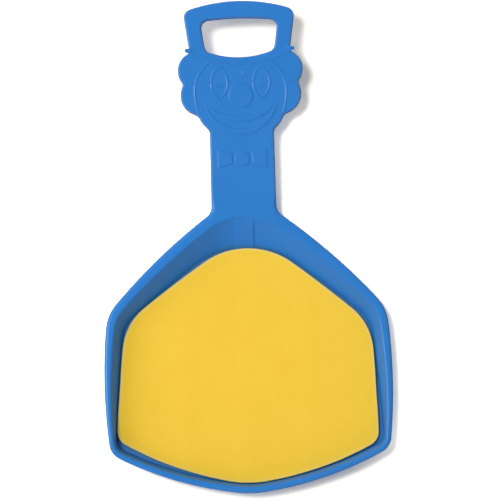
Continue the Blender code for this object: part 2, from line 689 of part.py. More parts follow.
def make_pad(frame):
    """Foam seat pad, cut to the floor's shape and laid in with a slight turn."""
    points, normals = outline(pad_corners())
    middle = (min(p.imag for p in points) + max(p.imag for p in points)) / 2
    points = [p - 1j * middle for p in points]
    bm = bmesh.new()
    rings = [ring(bm, points, 0.0)]
    for i in range(ROUND_STEPS + 1):
        turn = pi / 2 * i / ROUND_STEPS
        rings.append(ring(bm, inset(points, normals, PAD_EDGE_ROUND * (1 - cos(turn))),
                          PAD_THICK - PAD_EDGE_ROUND * (1 - sin(turn))))
    bridge(bm, rings)
    cap(bm, rings[0])
    cap(bm, rings[-1])
    pad = finish(bm, "seat_pad", frame, plastic("yellow foam", *YELLOW_FOAM))
    pad.location = (0.0, middle, PAD_Z)
    pad.rotation_euler.z = PAD_SKEW


def make_tape(frame, side, at, half, material):
    """Double-sided tape between one raised band and the pad."""
    bm = bmesh.new()
    half -= TAPE_INSET
    plan = [complex(-half, 0), complex(half, 0), complex(half, TAPE_LENGTH),
            complex(-half, TAPE_LENGTH)]
    rings = [ring(bm, plan, 0.0), ring(bm, plan, TAPE_THICK)]
    bridge(bm, rings)
    cap(bm, rings[0])
    cap(bm, rings[1])
    tape = finish(bm, "tape_" + side, frame, material)
    tape.location = (at, TAPE_START, TAPE_Z)


def main():
    for obj in list(bpy.data.objects):
        bpy.data.objects.remove(obj, do_unlink=True)
    length_along = [p.imag for p in outline(silhouette_corners())[0]]
    frame = bpy.data.objects.new("sled", None)
    frame.location.y = -(min(length_along) + max(length_along)) / 2
    bpy.context.scene.collection.objects.link(frame)
    make_shell(frame)
    make_pad(frame)
    tape_material = plastic("clear tape", *CLEAR_TAPE)
    make_tape(frame, "left", -SIDE_BAND_AT, SIDE_BAND_HALF, tape_material)
    make_tape(frame, "centre", 0.0, BAND_HALF, tape_material)
    make_tape(frame, "right", SIDE_BAND_AT, SIDE_BAND_HALF, tape_material)


main()
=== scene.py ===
"""Looks of a child's moulded hand sled: the fine shell with its rolled rim and moulded relief, the
foam seat pad, their materials, and the photograph's light and view.

Metres, +Z up, +Y towards the grip. Plan sizes run from the pan's rear corner: x across, y along.
"""
from cmath import exp, phase
from collections import namedtuple
from itertools import pairwise
from math import acos, atan2, ceil, copysign, cos, pi, radians, sin, sqrt, tan

import bmesh
import bpy
import numpy as np
from mathutils import Matrix, Vector
from mathutils.geometry import delaunay_2d_cdt, tessellate_polygon


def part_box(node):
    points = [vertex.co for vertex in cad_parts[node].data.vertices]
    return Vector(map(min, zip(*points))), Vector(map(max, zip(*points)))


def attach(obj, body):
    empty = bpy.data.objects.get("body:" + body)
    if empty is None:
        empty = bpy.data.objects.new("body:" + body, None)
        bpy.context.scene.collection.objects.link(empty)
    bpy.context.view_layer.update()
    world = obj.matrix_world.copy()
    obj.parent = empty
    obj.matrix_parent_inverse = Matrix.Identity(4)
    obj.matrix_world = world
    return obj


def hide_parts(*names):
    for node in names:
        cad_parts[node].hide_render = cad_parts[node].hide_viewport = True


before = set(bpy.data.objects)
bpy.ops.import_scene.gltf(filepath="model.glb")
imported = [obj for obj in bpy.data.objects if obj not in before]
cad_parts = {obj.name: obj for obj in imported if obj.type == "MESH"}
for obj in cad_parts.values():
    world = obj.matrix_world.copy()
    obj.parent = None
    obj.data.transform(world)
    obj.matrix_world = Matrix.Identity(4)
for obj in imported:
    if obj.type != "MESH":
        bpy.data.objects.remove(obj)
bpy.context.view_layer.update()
BODY = "root"

# Walls and heights of the moulded shell
RIM_HEIGHT = 0.036
WALL = 0.0022
SKIRT_WALL = 0.0018
SKIRT_DEPTH = 0.0095
SKIRT_DRAFT = 0.0003
LIP_PROUD = 0.0008
LIP_HEIGHT = 0.0012
LIP_SLOPE = 0.0004
TOP_ROUND = 0.0025
TOP_ROUND_UNDER = 0.0008
FLOOR_ROUND = 0.0030
CROWN_SHARE = 0.85
CROWN_DROP = 0.0022
HANDLE_ROUND = 0.0012

# Outline of the pan and the handle: half widths, distances along, fillets and side radii
REAR_FILLET, REAR_BOW = 0.120, 0.417
PAN_HALF, LOWER_Y, LOWER_FILLET, SIDE_BOW = 0.1621, 0.0499, 0.0214, 0.651
SHOULDER_HALF, SHOULDER_Y, SHOULDER_FILLET, DIAGONAL_BOW = 0.1618, 0.2112, 0.0514, 0.700
NECK_FOOT_HALF, NECK_FOOT_Y, NECK_FOOT_FILLET = 0.0377, 0.3262, 0.0145
NECK_LENGTH = 0.0949
NECK_TOP_HALF, NECK_TOP_FILLET, CHIN_BOW = 0.0371, 0.0098, 0.032
JAW_HALF, JAW_RISE, JAW_FILLET, LOWER_LOBE = 0.0495, 0.0173, 0.0091, 0.0236
EAR_HALF, EAR_RISE, EAR_FILLET, UPPER_LOBE = 0.0658, 0.0537, 0.0068, 0.0220
HAT_FOOT_HALF, HAT_FOOT_RISE, HAT_FOOT_FILLET = 0.0579, 0.0897, 0.0040
HAT_TOP_HALF, HAT_HEIGHT, HAT_FILLET, HAT_BOW = 0.0646, 0.0473, 0.0103, 0.191
HANDLE_ANGLE = radians(4.6)
BEND_LENGTH = 0.028
BEND_BEFORE_NECK = 0.0062
GAP_FOOT_HALF, GAP_FOOT_RISE, GAP_FOOT_FILLET, GAP_FOOT_BOW = 0.0396, 0.0017, 0.0089, 0.106
GAP_TOP_HALF, GAP_TOP_RISE, GAP_TOP_FILLET, GAP_TOP_BOW = 0.0444, 0.0352, 0.0083, 0.338

# Bowl opening and floor
RIM_REAR = 0.0080
RIM_LOWER_X, RIM_LOWER_Y, OPEN_LOWER_FILLET = 0.0057, 0.0048, 0.0150
RIM_SHOULDER_X, RIM_SHOULDER_Y, OPEN_SHOULDER_FILLET = 0.0103, 0.0037, 0.0400
OPEN_SIDE_BOW = 0.578
OPEN_FRONT_RISE, OPEN_FRONT_FILLET = 0.0091, 0.068
RIM_DIAGONAL = 0.0125
RUN_REAR = 0.0017
RUN_LOWER_X, RUN_LOWER_Y, FLOOR_LOWER_FILLET = 0.0003, 0.0028, 0.0150
RUN_SHOULDER_X, RUN_SHOULDER_Y, FLOOR_SHOULDER_FILLET = 0.0079, 0.0105, 0.0450
RUN_FRONT, FLOOR_FRONT_FILLET = 0.0301, 0.098
FLOOR_SIDE_BOW = 5.0
FLOOR_DIAGONAL_BOW = 1.2

# Bands pressed into the floor
BAND_HEIGHT = 0.0012
BAND_HALF, BAND_START = 0.0106, 0.018
SIDE_BAND_AT, SIDE_BAND_HALF, SIDE_BAND_START, SIDE_BAND_END = 0.071, 0.0080, 0.029, 0.232
BAND_EDGE = 0.0006
BAND_STOP_BELOW_RIM = 0.0035

# Seat pad; a gap below zero lies over the rounded foot of the wall
PAD_EDGE_ROUND = 0.0009
PAD_PALE_REACH, PAD_PALE_STEPS = 0.0040, 4   # paler zone along the cut
PAD_GAP_REAR, PAD_REAR_FILLET, PAD_REAR_BOW = 0.0005, 0.120, 0.395
PAD_GAP_LOWER_X, PAD_GAP_LOWER_Y, PAD_LOWER_FILLET = 0.0034, 0.0037, 0.0178
PAD_GAP_SHOULDER_X, PAD_GAP_SHOULDER_Y, PAD_SHOULDER_FILLET = -0.0002, 0.0015, 0.0697
PAD_GAP_FRONT, PAD_FRONT_FILLET = 0.0032, 0.0869
PAD_SKEW = radians(-1.56)
PAD_SWELL = 0.00035           # how far the bands below show through the foam
PAD_SWELL_EDGE = 0.006
PAD_CUT_SLANT = 0.0002
PAD_WANDER, WANDER_START = 0.00006, 1.3   # unevenness of the knife cut
WANDER_ACROSS, WANDER_ALONG, WANDER_OUT = 91, 117, 203
PAD_GRID = 0.0040

# Face and hat relief, measured from the neck's top
RELIEF_HEIGHT = 0.0007
RIDGE_WIDTH = 0.0014
SOFT_EDGE = 0.00044           # half width of the slope at a relief's edge
FACE_HALF, FACE_RISE, FACE_UP, FACE_DOWN = 0.0528, 0.0454, 0.0444, 0.0680
FACE_TOP_HALF, FACE_FOOT_HALF = 0.0344, 0.0485
EYE_AT, EYE_FOOT_RISE, EYE_LENGTH, EYE_HALF = 0.0242, 0.0354, 0.0375, 0.0094
EYE_PEG_RISE, EYE_PEG_FOOT, EYE_PEG_TIP, EYE_PEG_THICK = 0.0549, 0.0085, 0.0133, 0.0022
EYE_LID_RISE, EYE_LID_HALF, EYE_LID_THICK = 0.0505, 0.0055, 0.0020
NOSE_RISE, NOSE_RADIUS = 0.0392, 0.0139
LIP_UP_HALF, LIP_UP_ENDS, LIP_UP_TOP, LIP_UP_FOOT = 0.0380, 0.0274, 0.0156, 0.0093
LIP_LOW_HALF, LIP_LOW_ENDS, LIP_LOW_TOP, LIP_LOW_FOOT = 0.0408, 0.0293, 0.0010, -0.0056
CURL_START_HALF, CURL_START_RISE = 0.0640, 0.0542
CURL_END_HALF, CURL_END_RISE, CURL_RISE = 0.0532, 0.0519, 0.0026
CURL_WIDTH, CURL_HEIGHT = 0.0010, 0.0005
GATE_RISE, GATE_RADIUS, GATE_WIDTH, GATE_HEIGHT = 0.0658, 0.0036, 0.0012, 0.0005
GATE_TURN = radians(75)
BOW_OUTER_HALF, BOW_OUTER_TOP, BOW_OUTER_FOOT = 0.0283, -0.0227, -0.0441
BOW_INNER_HALF, BOW_INNER_TOP, BOW_INNER_FOOT = 0.0115, -0.0266, -0.0381
KNOT_RISE, KNOT_RADIUS = -0.0333, 0.0086
BRIM_HALF, BRIM_TIP_TOP, BRIM_TIP_FOOT = 0.0631, 0.0945, 0.0900
BRIM_MID_TOP, BRIM_MID_FOOT = 0.0784, 0.0750
TIP_UNDER = 0.0026            # underside of the brim's tips below the rim's level
TIP_OUTER_X = 0.050           # outline points further out than this can belong to a tip
TIP_SQUARENESS = 4            # power of the rounded box that a tip's end follows

# Sections of a tip: share of its reach and height over the rim's level, from its underside up
TIP_SECTION = ((1.0, -0.0020), (1.02, -0.0010), (1.0, 0.0000), (0.94, 0.0006), (0.84, 0.0009),
               (0.60, 0.0009), (0.30, 0.0009), (0.0, 0.0009))

# Stiffening ribs under the neck, and the faint sinks that they leave above
RIB_AT, RIB_THICK, RIB_DEPTH = 0.0200, 0.0016, 0.0080
RIB_START_AFTER_BEND, RIB_END_RISE, RIB_DRAFT = 0.004, 0.010, 0.0002
SINK_DEPTH, SINK_REACH = 0.00005, 0.0018
KNIT_AT, KNIT_HEIGHT, KNIT_WIDTH = -0.0010, 0.00006, 0.0009

# Fineness of the mesh
PITCH = 0.0016
HEAD_PITCH = 0.0008
TIP_PITCH = 0.0003
WALL_STEPS = 8
TURN_STEP = radians(5)
ROUND_STEPS = 7
FINE_GRID, PLAIN_GRID = 0.0012, 0.0050
LINE_PITCH = 0.0009
LEAST_APART, FINE_APART, PLAIN_APART = 0.00017, 0.6 * FINE_GRID, PLAIN_GRID / 2
BAND_SHOULDERS, BAND_LINES = (-2.5, -1.2, -0.4, 0.4, 1.2, 2.5), (-1, -0.4, 0.4, 1)
BEND_CUTS = 9
STRAIGHT = 100.0              # side radius of a straight side
SAME_PLACE = 1e-7
SHARP_ANGLE = radians(40)

# Tones, depths of the fine relief, and roughness of the materials
PLASTIC_DARK, PLASTIC_LIGHT = (0.0215, 0.196, 0.590), (0.0255, 0.210, 0.620)
PLASTIC_CLOUD, PLASTIC_SPECULAR = (0.0290, 0.212, 0.612), 0.32
PLASTIC_ROUGH, SCUFF_ROUGH = (0.27, 0.35), 0.12
PEEL_DEPTH, WAVE_DEPTH = 0.00003, 0.0003
FOAM_LIGHT, FOAM_DARK = (0.972, 0.638, 0.059), (0.900, 0.564, 0.034)
FOAM_PALE = (0.880, 0.640, 0.170)
FOAM_PORES, FOAM_ROUGH, PATCH_SHARE = 0.00006, (0.82, 0.95), 0.27
CUT_LIGHT, CUT_DARK, CUT_PORES = (0.930, 0.700, 0.160), (0.870, 0.600, 0.080), 0.00025
TAPE_LIGHT, TAPE_DARK = (0.84, 0.82, 0.75), (0.74, 0.72, 0.63)
WEAVE_DEPTH, TAPE_ROUGH = 0.00005, (0.38, 0.55)

# Waves of each material's noises in a metre
FLOW_WAVES, CLOUD_WAVES, SCUFF_WAVES, ROUGH_WAVES = 34, 9, 420, 60
PEEL_WAVES, WAVE_WAVES = 700, 55
GRAIN_WAVES, PATCH_WAVES, CELL_WAVES, SKIN_WAVES, FOAM_ROUGH_WAVES = 800, 26, 1100, 1500, 300
WEAVE_WAVES, TAPE_ROUGH_WAVES = 900, 200

# The bowl's inside is more matt than the rim and the handle, and painted brighter and bluer as light
# on its walls; low in it, faces turned up are painted darker and greyer as shade on its floor
MATT_AND_LIT_BELOW, MATT_AND_LIT_REACH, MATT_MORE = RIM_HEIGHT - 0.0004, 0.0014, 0.30
PAINTED_BOWL_LIGHT, PAINTED_FLOOR_SHADE = (0.0270, 0.226, 0.700), (0.066, 0.210, 0.480)
# painted shade on the bowl's floor: its tone, the heights it fades over and the facing it needs
FLOOR_SHADE_HEIGHTS, FLOOR_SHADE_FACING = (0.0045, 0.0090), (0.5, 0.9)

# Floor, lights and camera
FLOOR_RADIUS, FLOOR_SIDES, FLOOR_GAP = 12.0, 96, 0.0002
# The floor is seen brighter than white and warmer, which lifts the sled's shadow and takes the blue
# out of it; beside the rear and the hat it is seen less bright, a painted shade that makes the shadow
# there darker
FLOOR_PLAIN, FLOOR_REFLECTED, FLOOR_SEEN = (0.80,) * 3, (0.95,) * 3, (2.70, 2.52, 2.12)
FLOOR_ENDS = (1.53, 1.45, 1.27)
REAR_ZONE, HAT_ZONE = (-0.262, -0.232), (0.125, 0.195)
KEY_PLACE, KEY_SIZE, KEY_POWER = (-1.35, 1.00, 5.0), 1.10, 154.0
LEFT_PLACE, LEFT_SIZE, LEFT_POWER = (-3.4, 0.4, 2.8), 3.0, 50.0
STRIP_PLACE, STRIP_SIZE, STRIP_POWER = (-3.4, -0.2, 2.8), 0.9, 72.0
REAR_PLACE, REAR_SIZE, REAR_POWER = (0.0, -3.70, 2.1), 3.0, 14.0
WORLD_LIGHT = 0.30
CAMERA_PLACE, CAMERA_TURN = (0.00574, -0.00285, 4.0), radians(-1.56)
CAMERA_LENS, CAMERA_SENSOR = 247.2, 36.0

# Places that follow from the sizes above
HEAD_Y = NECK_FOOT_Y + NECK_LENGTH
HAT_Y = HEAD_Y + HAT_FOOT_RISE
BEND_START = NECK_FOOT_Y - BEND_BEFORE_NECK
FLOOR_TOP = WALL
BOWL_DEPTH = RIM_HEIGHT - FLOOR_TOP
FRONT_Y = NECK_FOOT_Y / 2     # the bowl's front half begins here
FAN_START, FAN_REACH = 2 * BAND_HALF, 4 * BAND_HALF
PAN_BOX = complex(-PAN_HALF, 0), complex(PAN_HALF, NECK_FOOT_Y)
PAD_Z, PAD_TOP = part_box("seat_pad")[0].z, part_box("seat_pad")[1].z
PLAN_TO_FRAME = -0.28505      # where the pan's rear corner lies along the frame

Corner = namedtuple("Corner", "x y fillet bow")
Relief = namedtuple("Relief", "path offsets height")


def mirrored(right):
    """Whole counter-clockwise outline from its right half; a corner's bow is its next side's."""
    left = []
    for before, corner in reversed(list(pairwise(right))):
        if corner.x > 0:
            left.append(Corner(-corner.x, corner.y, corner.fillet, before.bow))
    return right + left


def centre_of(start, end, radius):
    """Centre of the arc from start to end, on the left of the way if the radius is positive."""
    half = (end - start) / 2
    rise = sqrt(max(radius ** 2 - abs(half) ** 2, 0.0))
    return start + half + 1j * copysign(rise, radius) * half / abs(half)


def fillet_of(corner, before, after, bow_in, bow_out, radius):
    """Centre, side (1 left turn, -1 right turn) and ends of the fillet between two arcs."""
    heading_in = 1j * (corner - before) * copysign(1, bow_in)
    heading_out = 1j * (corner - after) * copysign(1, bow_out)
    side = copysign(1, (heading_in.conjugate() * heading_out).imag)
    reach_in = bow_in - side * radius
    reach_out = bow_out - side * radius
    gap = after - before
    along = (abs(gap) ** 2 + reach_in ** 2 - reach_out ** 2) / (2 * abs(gap))
    aside = sqrt(max(reach_in ** 2 - along ** 2, 0.0))
    both = [before + gap / abs(gap) * complex(along, s) for s in (aside, -aside)]
    centre = min(both, key=lambda point: abs(point - corner))
    first = before + (centre - before) * bow_in / reach_in
    last = after + (centre - after) * bow_out / reach_out
    return centre, side, first, last


def arc(centre, start, end, pitch=PITCH):
    """Points from start up to, but not including, end, with the unit spokes they lie on."""
    if start.imag > HEAD_Y:
        pitch = min(pitch, HEAD_PITCH)
    spoke = start - centre
    turn = phase((end - centre) / spoke)
    steps = max(ceil(abs(turn) / TURN_STEP), ceil(abs(turn * spoke) / pitch), 1)
    spokes = [spoke * exp(1j * turn * i / steps) for i in range(steps)]
    return [(centre + s, s / abs(s)) for s in spokes]


def outline(corners):
    """Plan points and outward unit normals, as complex numbers, of a filleted outline."""
    points = [complex(c.x, c.y) for c in corners]
    bows = [c.bow or STRAIGHT for c in corners]
    count = len(corners)
    centres = [centre_of(points[i], points[(i + 1) % count], bows[i]) for i in range(count)]
    fillets = [fillet_of(points[i], centres[i - 1], centres[i], bows[i - 1], bows[i],
                         corners[i].fillet) for i in range(count)]
    spots = []
    for i, (centre, side, first, last) in enumerate(fillets):
        spots += [(p, side * s) for p, s in arc(centre, first, last)]
        following = fillets[(i + 1) % count][2]
        spots += [(p, copysign(1, bows[i]) * s) for p, s in arc(centres[i], last, following)]
    return [p for p, s in spots], [s for p, s in spots]


def silhouette_corners():
    """The shell seen from above: pan, neck, chin, ears and hat."""
    return mirrored([
        Corner(0, 0, REAR_FILLET, REAR_BOW),
        Corner(PAN_HALF, LOWER_Y, LOWER_FILLET, SIDE_BOW),
        Corner(SHOULDER_HALF, SHOULDER_Y, SHOULDER_FILLET, DIAGONAL_BOW),
        Corner(NECK_FOOT_HALF, NECK_FOOT_Y, NECK_FOOT_FILLET, 0),
        Corner(NECK_TOP_HALF, HEAD_Y, NECK_TOP_FILLET, CHIN_BOW),
        Corner(JAW_HALF, HEAD_Y + JAW_RISE, JAW_FILLET, LOWER_LOBE),
        Corner(EAR_HALF, HEAD_Y + EAR_RISE, EAR_FILLET, UPPER_LOBE),
        Corner(HAT_FOOT_HALF, HAT_Y, HAT_FOOT_FILLET, 0),
        Corner(HAT_TOP_HALF, HAT_Y + HAT_HEIGHT, HAT_FILLET, HAT_BOW),
    ])


def opening_corners():
    """Inner edge of the rim."""
    return mirrored([
        Corner(0, RIM_REAR, REAR_FILLET, REAR_BOW - RIM_REAR),
        Corner(PAN_HALF - RIM_LOWER_X, LOWER_Y + RIM_LOWER_Y, OPEN_LOWER_FILLET, OPEN_SIDE_BOW),
        Corner(SHOULDER_HALF - RIM_SHOULDER_X, SHOULDER_Y - RIM_SHOULDER_Y, OPEN_SHOULDER_FILLET,
               DIAGONAL_BOW - RIM_DIAGONAL),
        Corner(0, NECK_FOOT_Y + OPEN_FRONT_RISE, OPEN_FRONT_FILLET, DIAGONAL_BOW - RIM_DIAGONAL),
    ])


def floor_corners():
    """Foot of the bowl's wall: the opening's corners moved inwards by the wall's run."""
    rear, lower, shoulder, front = opening_corners()[:4]
    return mirrored([
        Corner(0, rear.y + RUN_REAR, REAR_FILLET, rear.bow - RUN_REAR),
        Corner(lower.x - RUN_LOWER_X, lower.y + RUN_LOWER_Y, FLOOR_LOWER_FILLET, FLOOR_SIDE_BOW),
        Corner(shoulder.x - RUN_SHOULDER_X, shoulder.y - RUN_SHOULDER_Y, FLOOR_SHOULDER_FILLET,
               FLOOR_DIAGONAL_BOW),
        Corner(0, front.y - RUN_FRONT, FLOOR_FRONT_FILLET, FLOOR_DIAGONAL_BOW),
    ])


def pad_corners():
    """The pad's cut outline: the floor's corners moved inwards by the gaps left round it."""
    rear, lower, shoulder, front = floor_corners()[:4]
    return mirrored([
        Corner(0, rear.y + PAD_GAP_REAR, PAD_REAR_FILLET, PAD_REAR_BOW),
        Corner(lower.x - PAD_GAP_LOWER_X, lower.y + PAD_GAP_LOWER_Y, PAD_LOWER_FILLET,
               FLOOR_SIDE_BOW),
        Corner(shoulder.x - PAD_GAP_SHOULDER_X, shoulder.y - PAD_GAP_SHOULDER_Y,
               PAD_SHOULDER_FILLET, FLOOR_DIAGONAL_BOW),
        Corner(0, front.y - PAD_GAP_FRONT, PAD_FRONT_FILLET, FLOOR_DIAGONAL_BOW),
    ])


def gap_corners():
    """The finger gap in the hat."""
    foot = HAT_Y + GAP_FOOT_RISE
    top = HAT_Y + GAP_TOP_RISE
    return [
        Corner(GAP_FOOT_HALF, foot, GAP_FOOT_FILLET, 0),
        Corner(GAP_TOP_HALF, top, GAP_TOP_FILLET, GAP_TOP_BOW),
        Corner(-GAP_TOP_HALF, top, GAP_TOP_FILLET, 0),
        Corner(-GAP_FOOT_HALF, foot, GAP_FOOT_FILLET, GAP_FOOT_BOW),
    ]


def bow_path(start, end, rise):
    """Plan points, ends included, on the arc whose middle lies rise to the left of the chord."""
    half = abs(end - start) / 2
    radius = -copysign((half ** 2 + rise ** 2) / (2 * abs(rise)), rise)
    centre = centre_of(start, end, radius)
    return [p for p, _ in arc(centre, start, end, LINE_PITCH)] + [end]


def straight_path(start, end, pitch=LINE_PITCH):
    steps = ceil(abs(end - start) / pitch)
    return [start + (end - start) * i / steps for i in range(steps + 1)]


def inset(points, normals, amounts):
    """A loop moved inwards by one amount, or by one for each point."""
    if not isinstance(amounts, list):
        amounts = [amounts] * len(points)
    return [p - n * a for p, n, a in zip(points, normals, amounts)]


def rise_at(y):
    """How far the handle stands above the pan's rim level at this distance along."""
    past = max(y - BEND_START, 0.0)
    if past < BEND_LENGTH:
        return tan(HANDLE_ANGLE) * past ** 2 / (2 * BEND_LENGTH)
    return tan(HANDLE_ANGLE) * (past - BEND_LENGTH / 2)


def smooth(share):
    """Smooth step of an array from 0 to 1."""
    share = np.clip(share, 0.0, 1.0)
    return share * share * (3 - 2 * share)


def inside(points, loop):
    """Which plan points lie inside a closed loop, by counting the sides that they pass."""
    within = np.zeros(len(points), bool)
    x, y = points.real, points.imag
    for a, b in zip(loop, loop[1:] + loop[:1]):
        if a.imag == b.imag:
            continue
        passes = (a.imag > y) != (b.imag > y)
        within ^= passes & (x < a.real + (y - a.imag) * (b.real - a.real) / (b.imag - a.imag))
    return within


def between(points, loops):
    """The plan points inside the first loop and outside the others."""
    keep = inside(points, loops[0])
    for hole in loops[1:]:
        keep &= ~inside(points, hole)
    return points[keep]


def distance_to(points, path):
    """Distance of each plan point from an open path."""
    best = np.full(len(points), 1.0)
    for a, b in pairwise(path):
        side = b - a
        share = np.clip(((points - a) * side.conjugate()).real / abs(side) ** 2, 0.0, 1.0)
        best = np.minimum(best, np.abs(points - a - share * side))
    return best


def on_head(x, rise):
    """Plan point at a height above the neck's top."""
    return complex(x, HEAD_Y + rise)


def line_relief(path, width=RIDGE_WIDTH, height=RELIEF_HEIGHT):
    """Raised line along a path."""
    def rise(points):
        return height * smooth((width / 2 + SOFT_EDGE - distance_to(points, path))
                               / (2 * SOFT_EDGE))
    flank = (width / 2 - SOFT_EDGE, width / 2, width / 2 + SOFT_EDGE)
    return Relief(path, (0.0, *flank), rise)


def shape_relief(loop):
    """Raised shape inside a closed loop."""
    path = loop + loop[:1]

    def rise(points):
        edge = distance_to(points, path)
        depth = np.where(inside(points, loop), edge, -edge)
        return RELIEF_HEIGHT * smooth((depth + SOFT_EDGE) / (2 * SOFT_EDGE))
    return Relief(path, (0.0, SOFT_EDGE / 2, SOFT_EDGE), rise)


def disc(centre, radius):
    steps = ceil(2 * pi * radius / LINE_PITCH)
    return [centre + radius * exp(2j * pi * i / steps) for i in range(steps)]


def between_arcs(half, ends, top, foot):
    """Loop between two arcs that meet in tips left and right."""
    left, right = on_head(-half, ends), on_head(half, ends)
    return bow_path(left, right, foot - ends) + bow_path(right, left, ends - top)[1:-1]


def gate():
    """The side of the moulding gate's ring that shows, at its right."""
    steps = ceil(2 * GATE_TURN * GATE_RADIUS / LINE_PITCH)
    return [on_head(0, GATE_RISE) + GATE_RADIUS * exp(1j * GATE_TURN * (2 * i / steps - 1))
            for i in range(steps + 1)]


def loop_of(corners):
    """Straight-sided closed loop with points along its sides."""
    sides = zip(corners, corners[1:] + corners[:1])
    return [p for a, b in sides for p in straight_path(a, b)[:-1]]


def peg(at, way):
    """Loop of the short pointed ridge that stands out from an eye's arc."""
    foot, tip = [on_head(at + way * x, EYE_PEG_RISE) for x in (EYE_PEG_FOOT, EYE_PEG_TIP)]
    return loop_of([foot - EYE_PEG_THICK / 2 * 1j, tip, foot + EYE_PEG_THICK / 2 * 1j])


def spindle(middle, half, thick):
    """Loop of a narrow pointed bar."""
    left, right = middle - half, middle + half
    return bow_path(left, right, -thick / 2) + bow_path(right, left, -thick / 2)[1:-1]


def cheek(way):
    """One side of the face's oval, from under the brim to the jaw."""
    start = acos(FACE_TOP_HALF / FACE_HALF)
    end = -acos(FACE_FOOT_HALF / FACE_HALF)
    steps = ceil((FACE_UP + FACE_DOWN) / 2 / LINE_PITCH)
    path = []
    for i in range(steps + 1):
        turn = start + (end - start) * i / steps
        reach = FACE_UP if turn > 0 else FACE_DOWN
        path.append(on_head(way * FACE_HALF * cos(turn), FACE_RISE + reach * sin(turn)))
    return path


def brim():
    """Loop of the hat's curved brim with its tips."""
    upper, lower = [bow_path(on_head(-BRIM_HALF, tip), on_head(BRIM_HALF, tip), middle - tip)
                    for tip, middle in ((BRIM_TIP_TOP, BRIM_MID_TOP),
                                        (BRIM_TIP_FOOT, BRIM_MID_FOOT))]
    return lower + upper[::-1]


def reliefs():
    """Everything moulded on the handle's deck."""
    shapes = [shape_relief(brim()),
              shape_relief(disc(on_head(0, NOSE_RISE), NOSE_RADIUS)),
              shape_relief(disc(on_head(0, KNOT_RISE), KNOT_RADIUS)),
              line_relief(gate(), GATE_WIDTH, GATE_HEIGHT),
              shape_relief(between_arcs(LIP_UP_HALF, LIP_UP_ENDS, LIP_UP_TOP, LIP_UP_FOOT)),
              shape_relief(between_arcs(LIP_LOW_HALF, LIP_LOW_ENDS, LIP_LOW_TOP, LIP_LOW_FOOT))]
    for way in (-1, 1):
        foot = on_head(way * EYE_AT, EYE_FOOT_RISE)
        top = foot + 1j * EYE_LENGTH
        shapes += [line_relief(bow_path(foot, top, side * EYE_HALF)) for side in (-1, 1)]
        shapes += [shape_relief(peg(way * EYE_AT, side)) for side in (-1, 1)]
        shapes.append(shape_relief(spindle(on_head(way * EYE_AT, EYE_LID_RISE), EYE_LID_HALF,
                                           EYE_LID_THICK)))
        shapes.append(line_relief(cheek(way)))
        shapes.append(line_relief(bow_path(on_head(way * CURL_START_HALF, CURL_START_RISE),
                                           on_head(way * CURL_END_HALF, CURL_END_RISE),
                                           -way * CURL_RISE), CURL_WIDTH, CURL_HEIGHT))
        corners = [on_head(way * BOW_INNER_HALF, BOW_INNER_FOOT),
                   on_head(way * BOW_OUTER_HALF, BOW_OUTER_FOOT),
                   on_head(way * BOW_OUTER_HALF, BOW_OUTER_TOP),
                   on_head(way * BOW_INNER_HALF, BOW_INNER_TOP)]
        shapes.append(shape_relief(loop_of(corners)))
    return shapes


def relief_at(points, shapes):
    """Height of the moulded relief over the deck at an array of plan points."""
    height = np.zeros(len(points))
    for shape in shapes:
        height = np.maximum(height, shape.height(points))
    x, y = points.real, points.imag
    sinks = np.exp(-((np.abs(x) - RIB_AT) / SINK_REACH) ** 2)
    neck = smooth((y - BEND_START - BEND_LENGTH) / BEND_LENGTH) * smooth((HEAD_Y - y) / BEND_LENGTH)
    knit = np.exp(-((x - KNIT_AT) / KNIT_WIDTH) ** 2) * (y > HAT_Y + GAP_TOP_RISE)
    return height - SINK_DEPTH * sinks * neck + KNIT_HEIGHT * knit


def on_bands(points, edge, start):
    """Share of the bands' height; edge is half a slope's width, start the middle band's."""
    x, y = points.real, points.imag
    middle = np.minimum(BAND_HALF - np.abs(x), y - start)
    side = np.minimum(SIDE_BAND_HALF - np.abs(np.abs(x) - SIDE_BAND_AT),
                      np.minimum(y - SIDE_BAND_START, SIDE_BAND_END - y))
    return smooth((np.maximum(middle, side) + edge) / (2 * edge))


def band_at(points):
    """Height of the floor's bands at an array of plan points."""
    return BAND_HEIGHT * on_bands(points, BAND_EDGE, BAND_START)


def ring(bm, plan, heights):
    """Vertices over plan points, at one height or at one for each point."""
    if not isinstance(heights, list):
        heights = [heights] * len(plan)
    return [bm.verts.new((p.real, p.imag, z)) for p, z in zip(plan, heights)]


def bridge(bm, rings):
    """Quads between each closed loop and the next, which has as many vertices."""
    for low, high in pairwise(rings):
        for i in range(len(low)):
            bm.faces.new((low[i - 1], low[i], high[i], high[i - 1]))


def cap(bm, *loops):
    """Flat face inside the first loop and outside the others."""
    verts = [v for loop in loops for v in loop]
    for corners in tessellate_polygon([[v.co for v in loop] for loop in loops]):
        bm.faces.new([verts[i] for i in corners])


def grid_points(loops, pitch, low, high):
    """Staggered plan points at a pitch in a box, inside the first loop and outside the others."""
    rows = np.arange(low.imag, high.imag, pitch * sqrt(3) / 2)
    spots = []
    for i, y in enumerate(rows):
        spots.append(np.arange(low.real + pitch / 2 * (i % 2), high.real, pitch) + 1j * y)
    return between(np.concatenate(spots), loops)


def thin_out(points, taken, apart):
    """The points that lie at least this far from those taken and from each other."""
    cells = {}
    for p in taken:
        cells.setdefault((int(p.real // apart), int(p.imag // apart)), []).append(p)
    kept = []
    for p in points:
        cx, cy = int(p.real // apart), int(p.imag // apart)
        near = [q for i in (-1, 0, 1) for j in (-1, 0, 1) for q in cells.get((cx + i, cy + j), ())]
        if all(abs(p - q) >= apart for q in near):
            kept.append(p)
            cells.setdefault((cx, cy), []).append(p)
    return kept


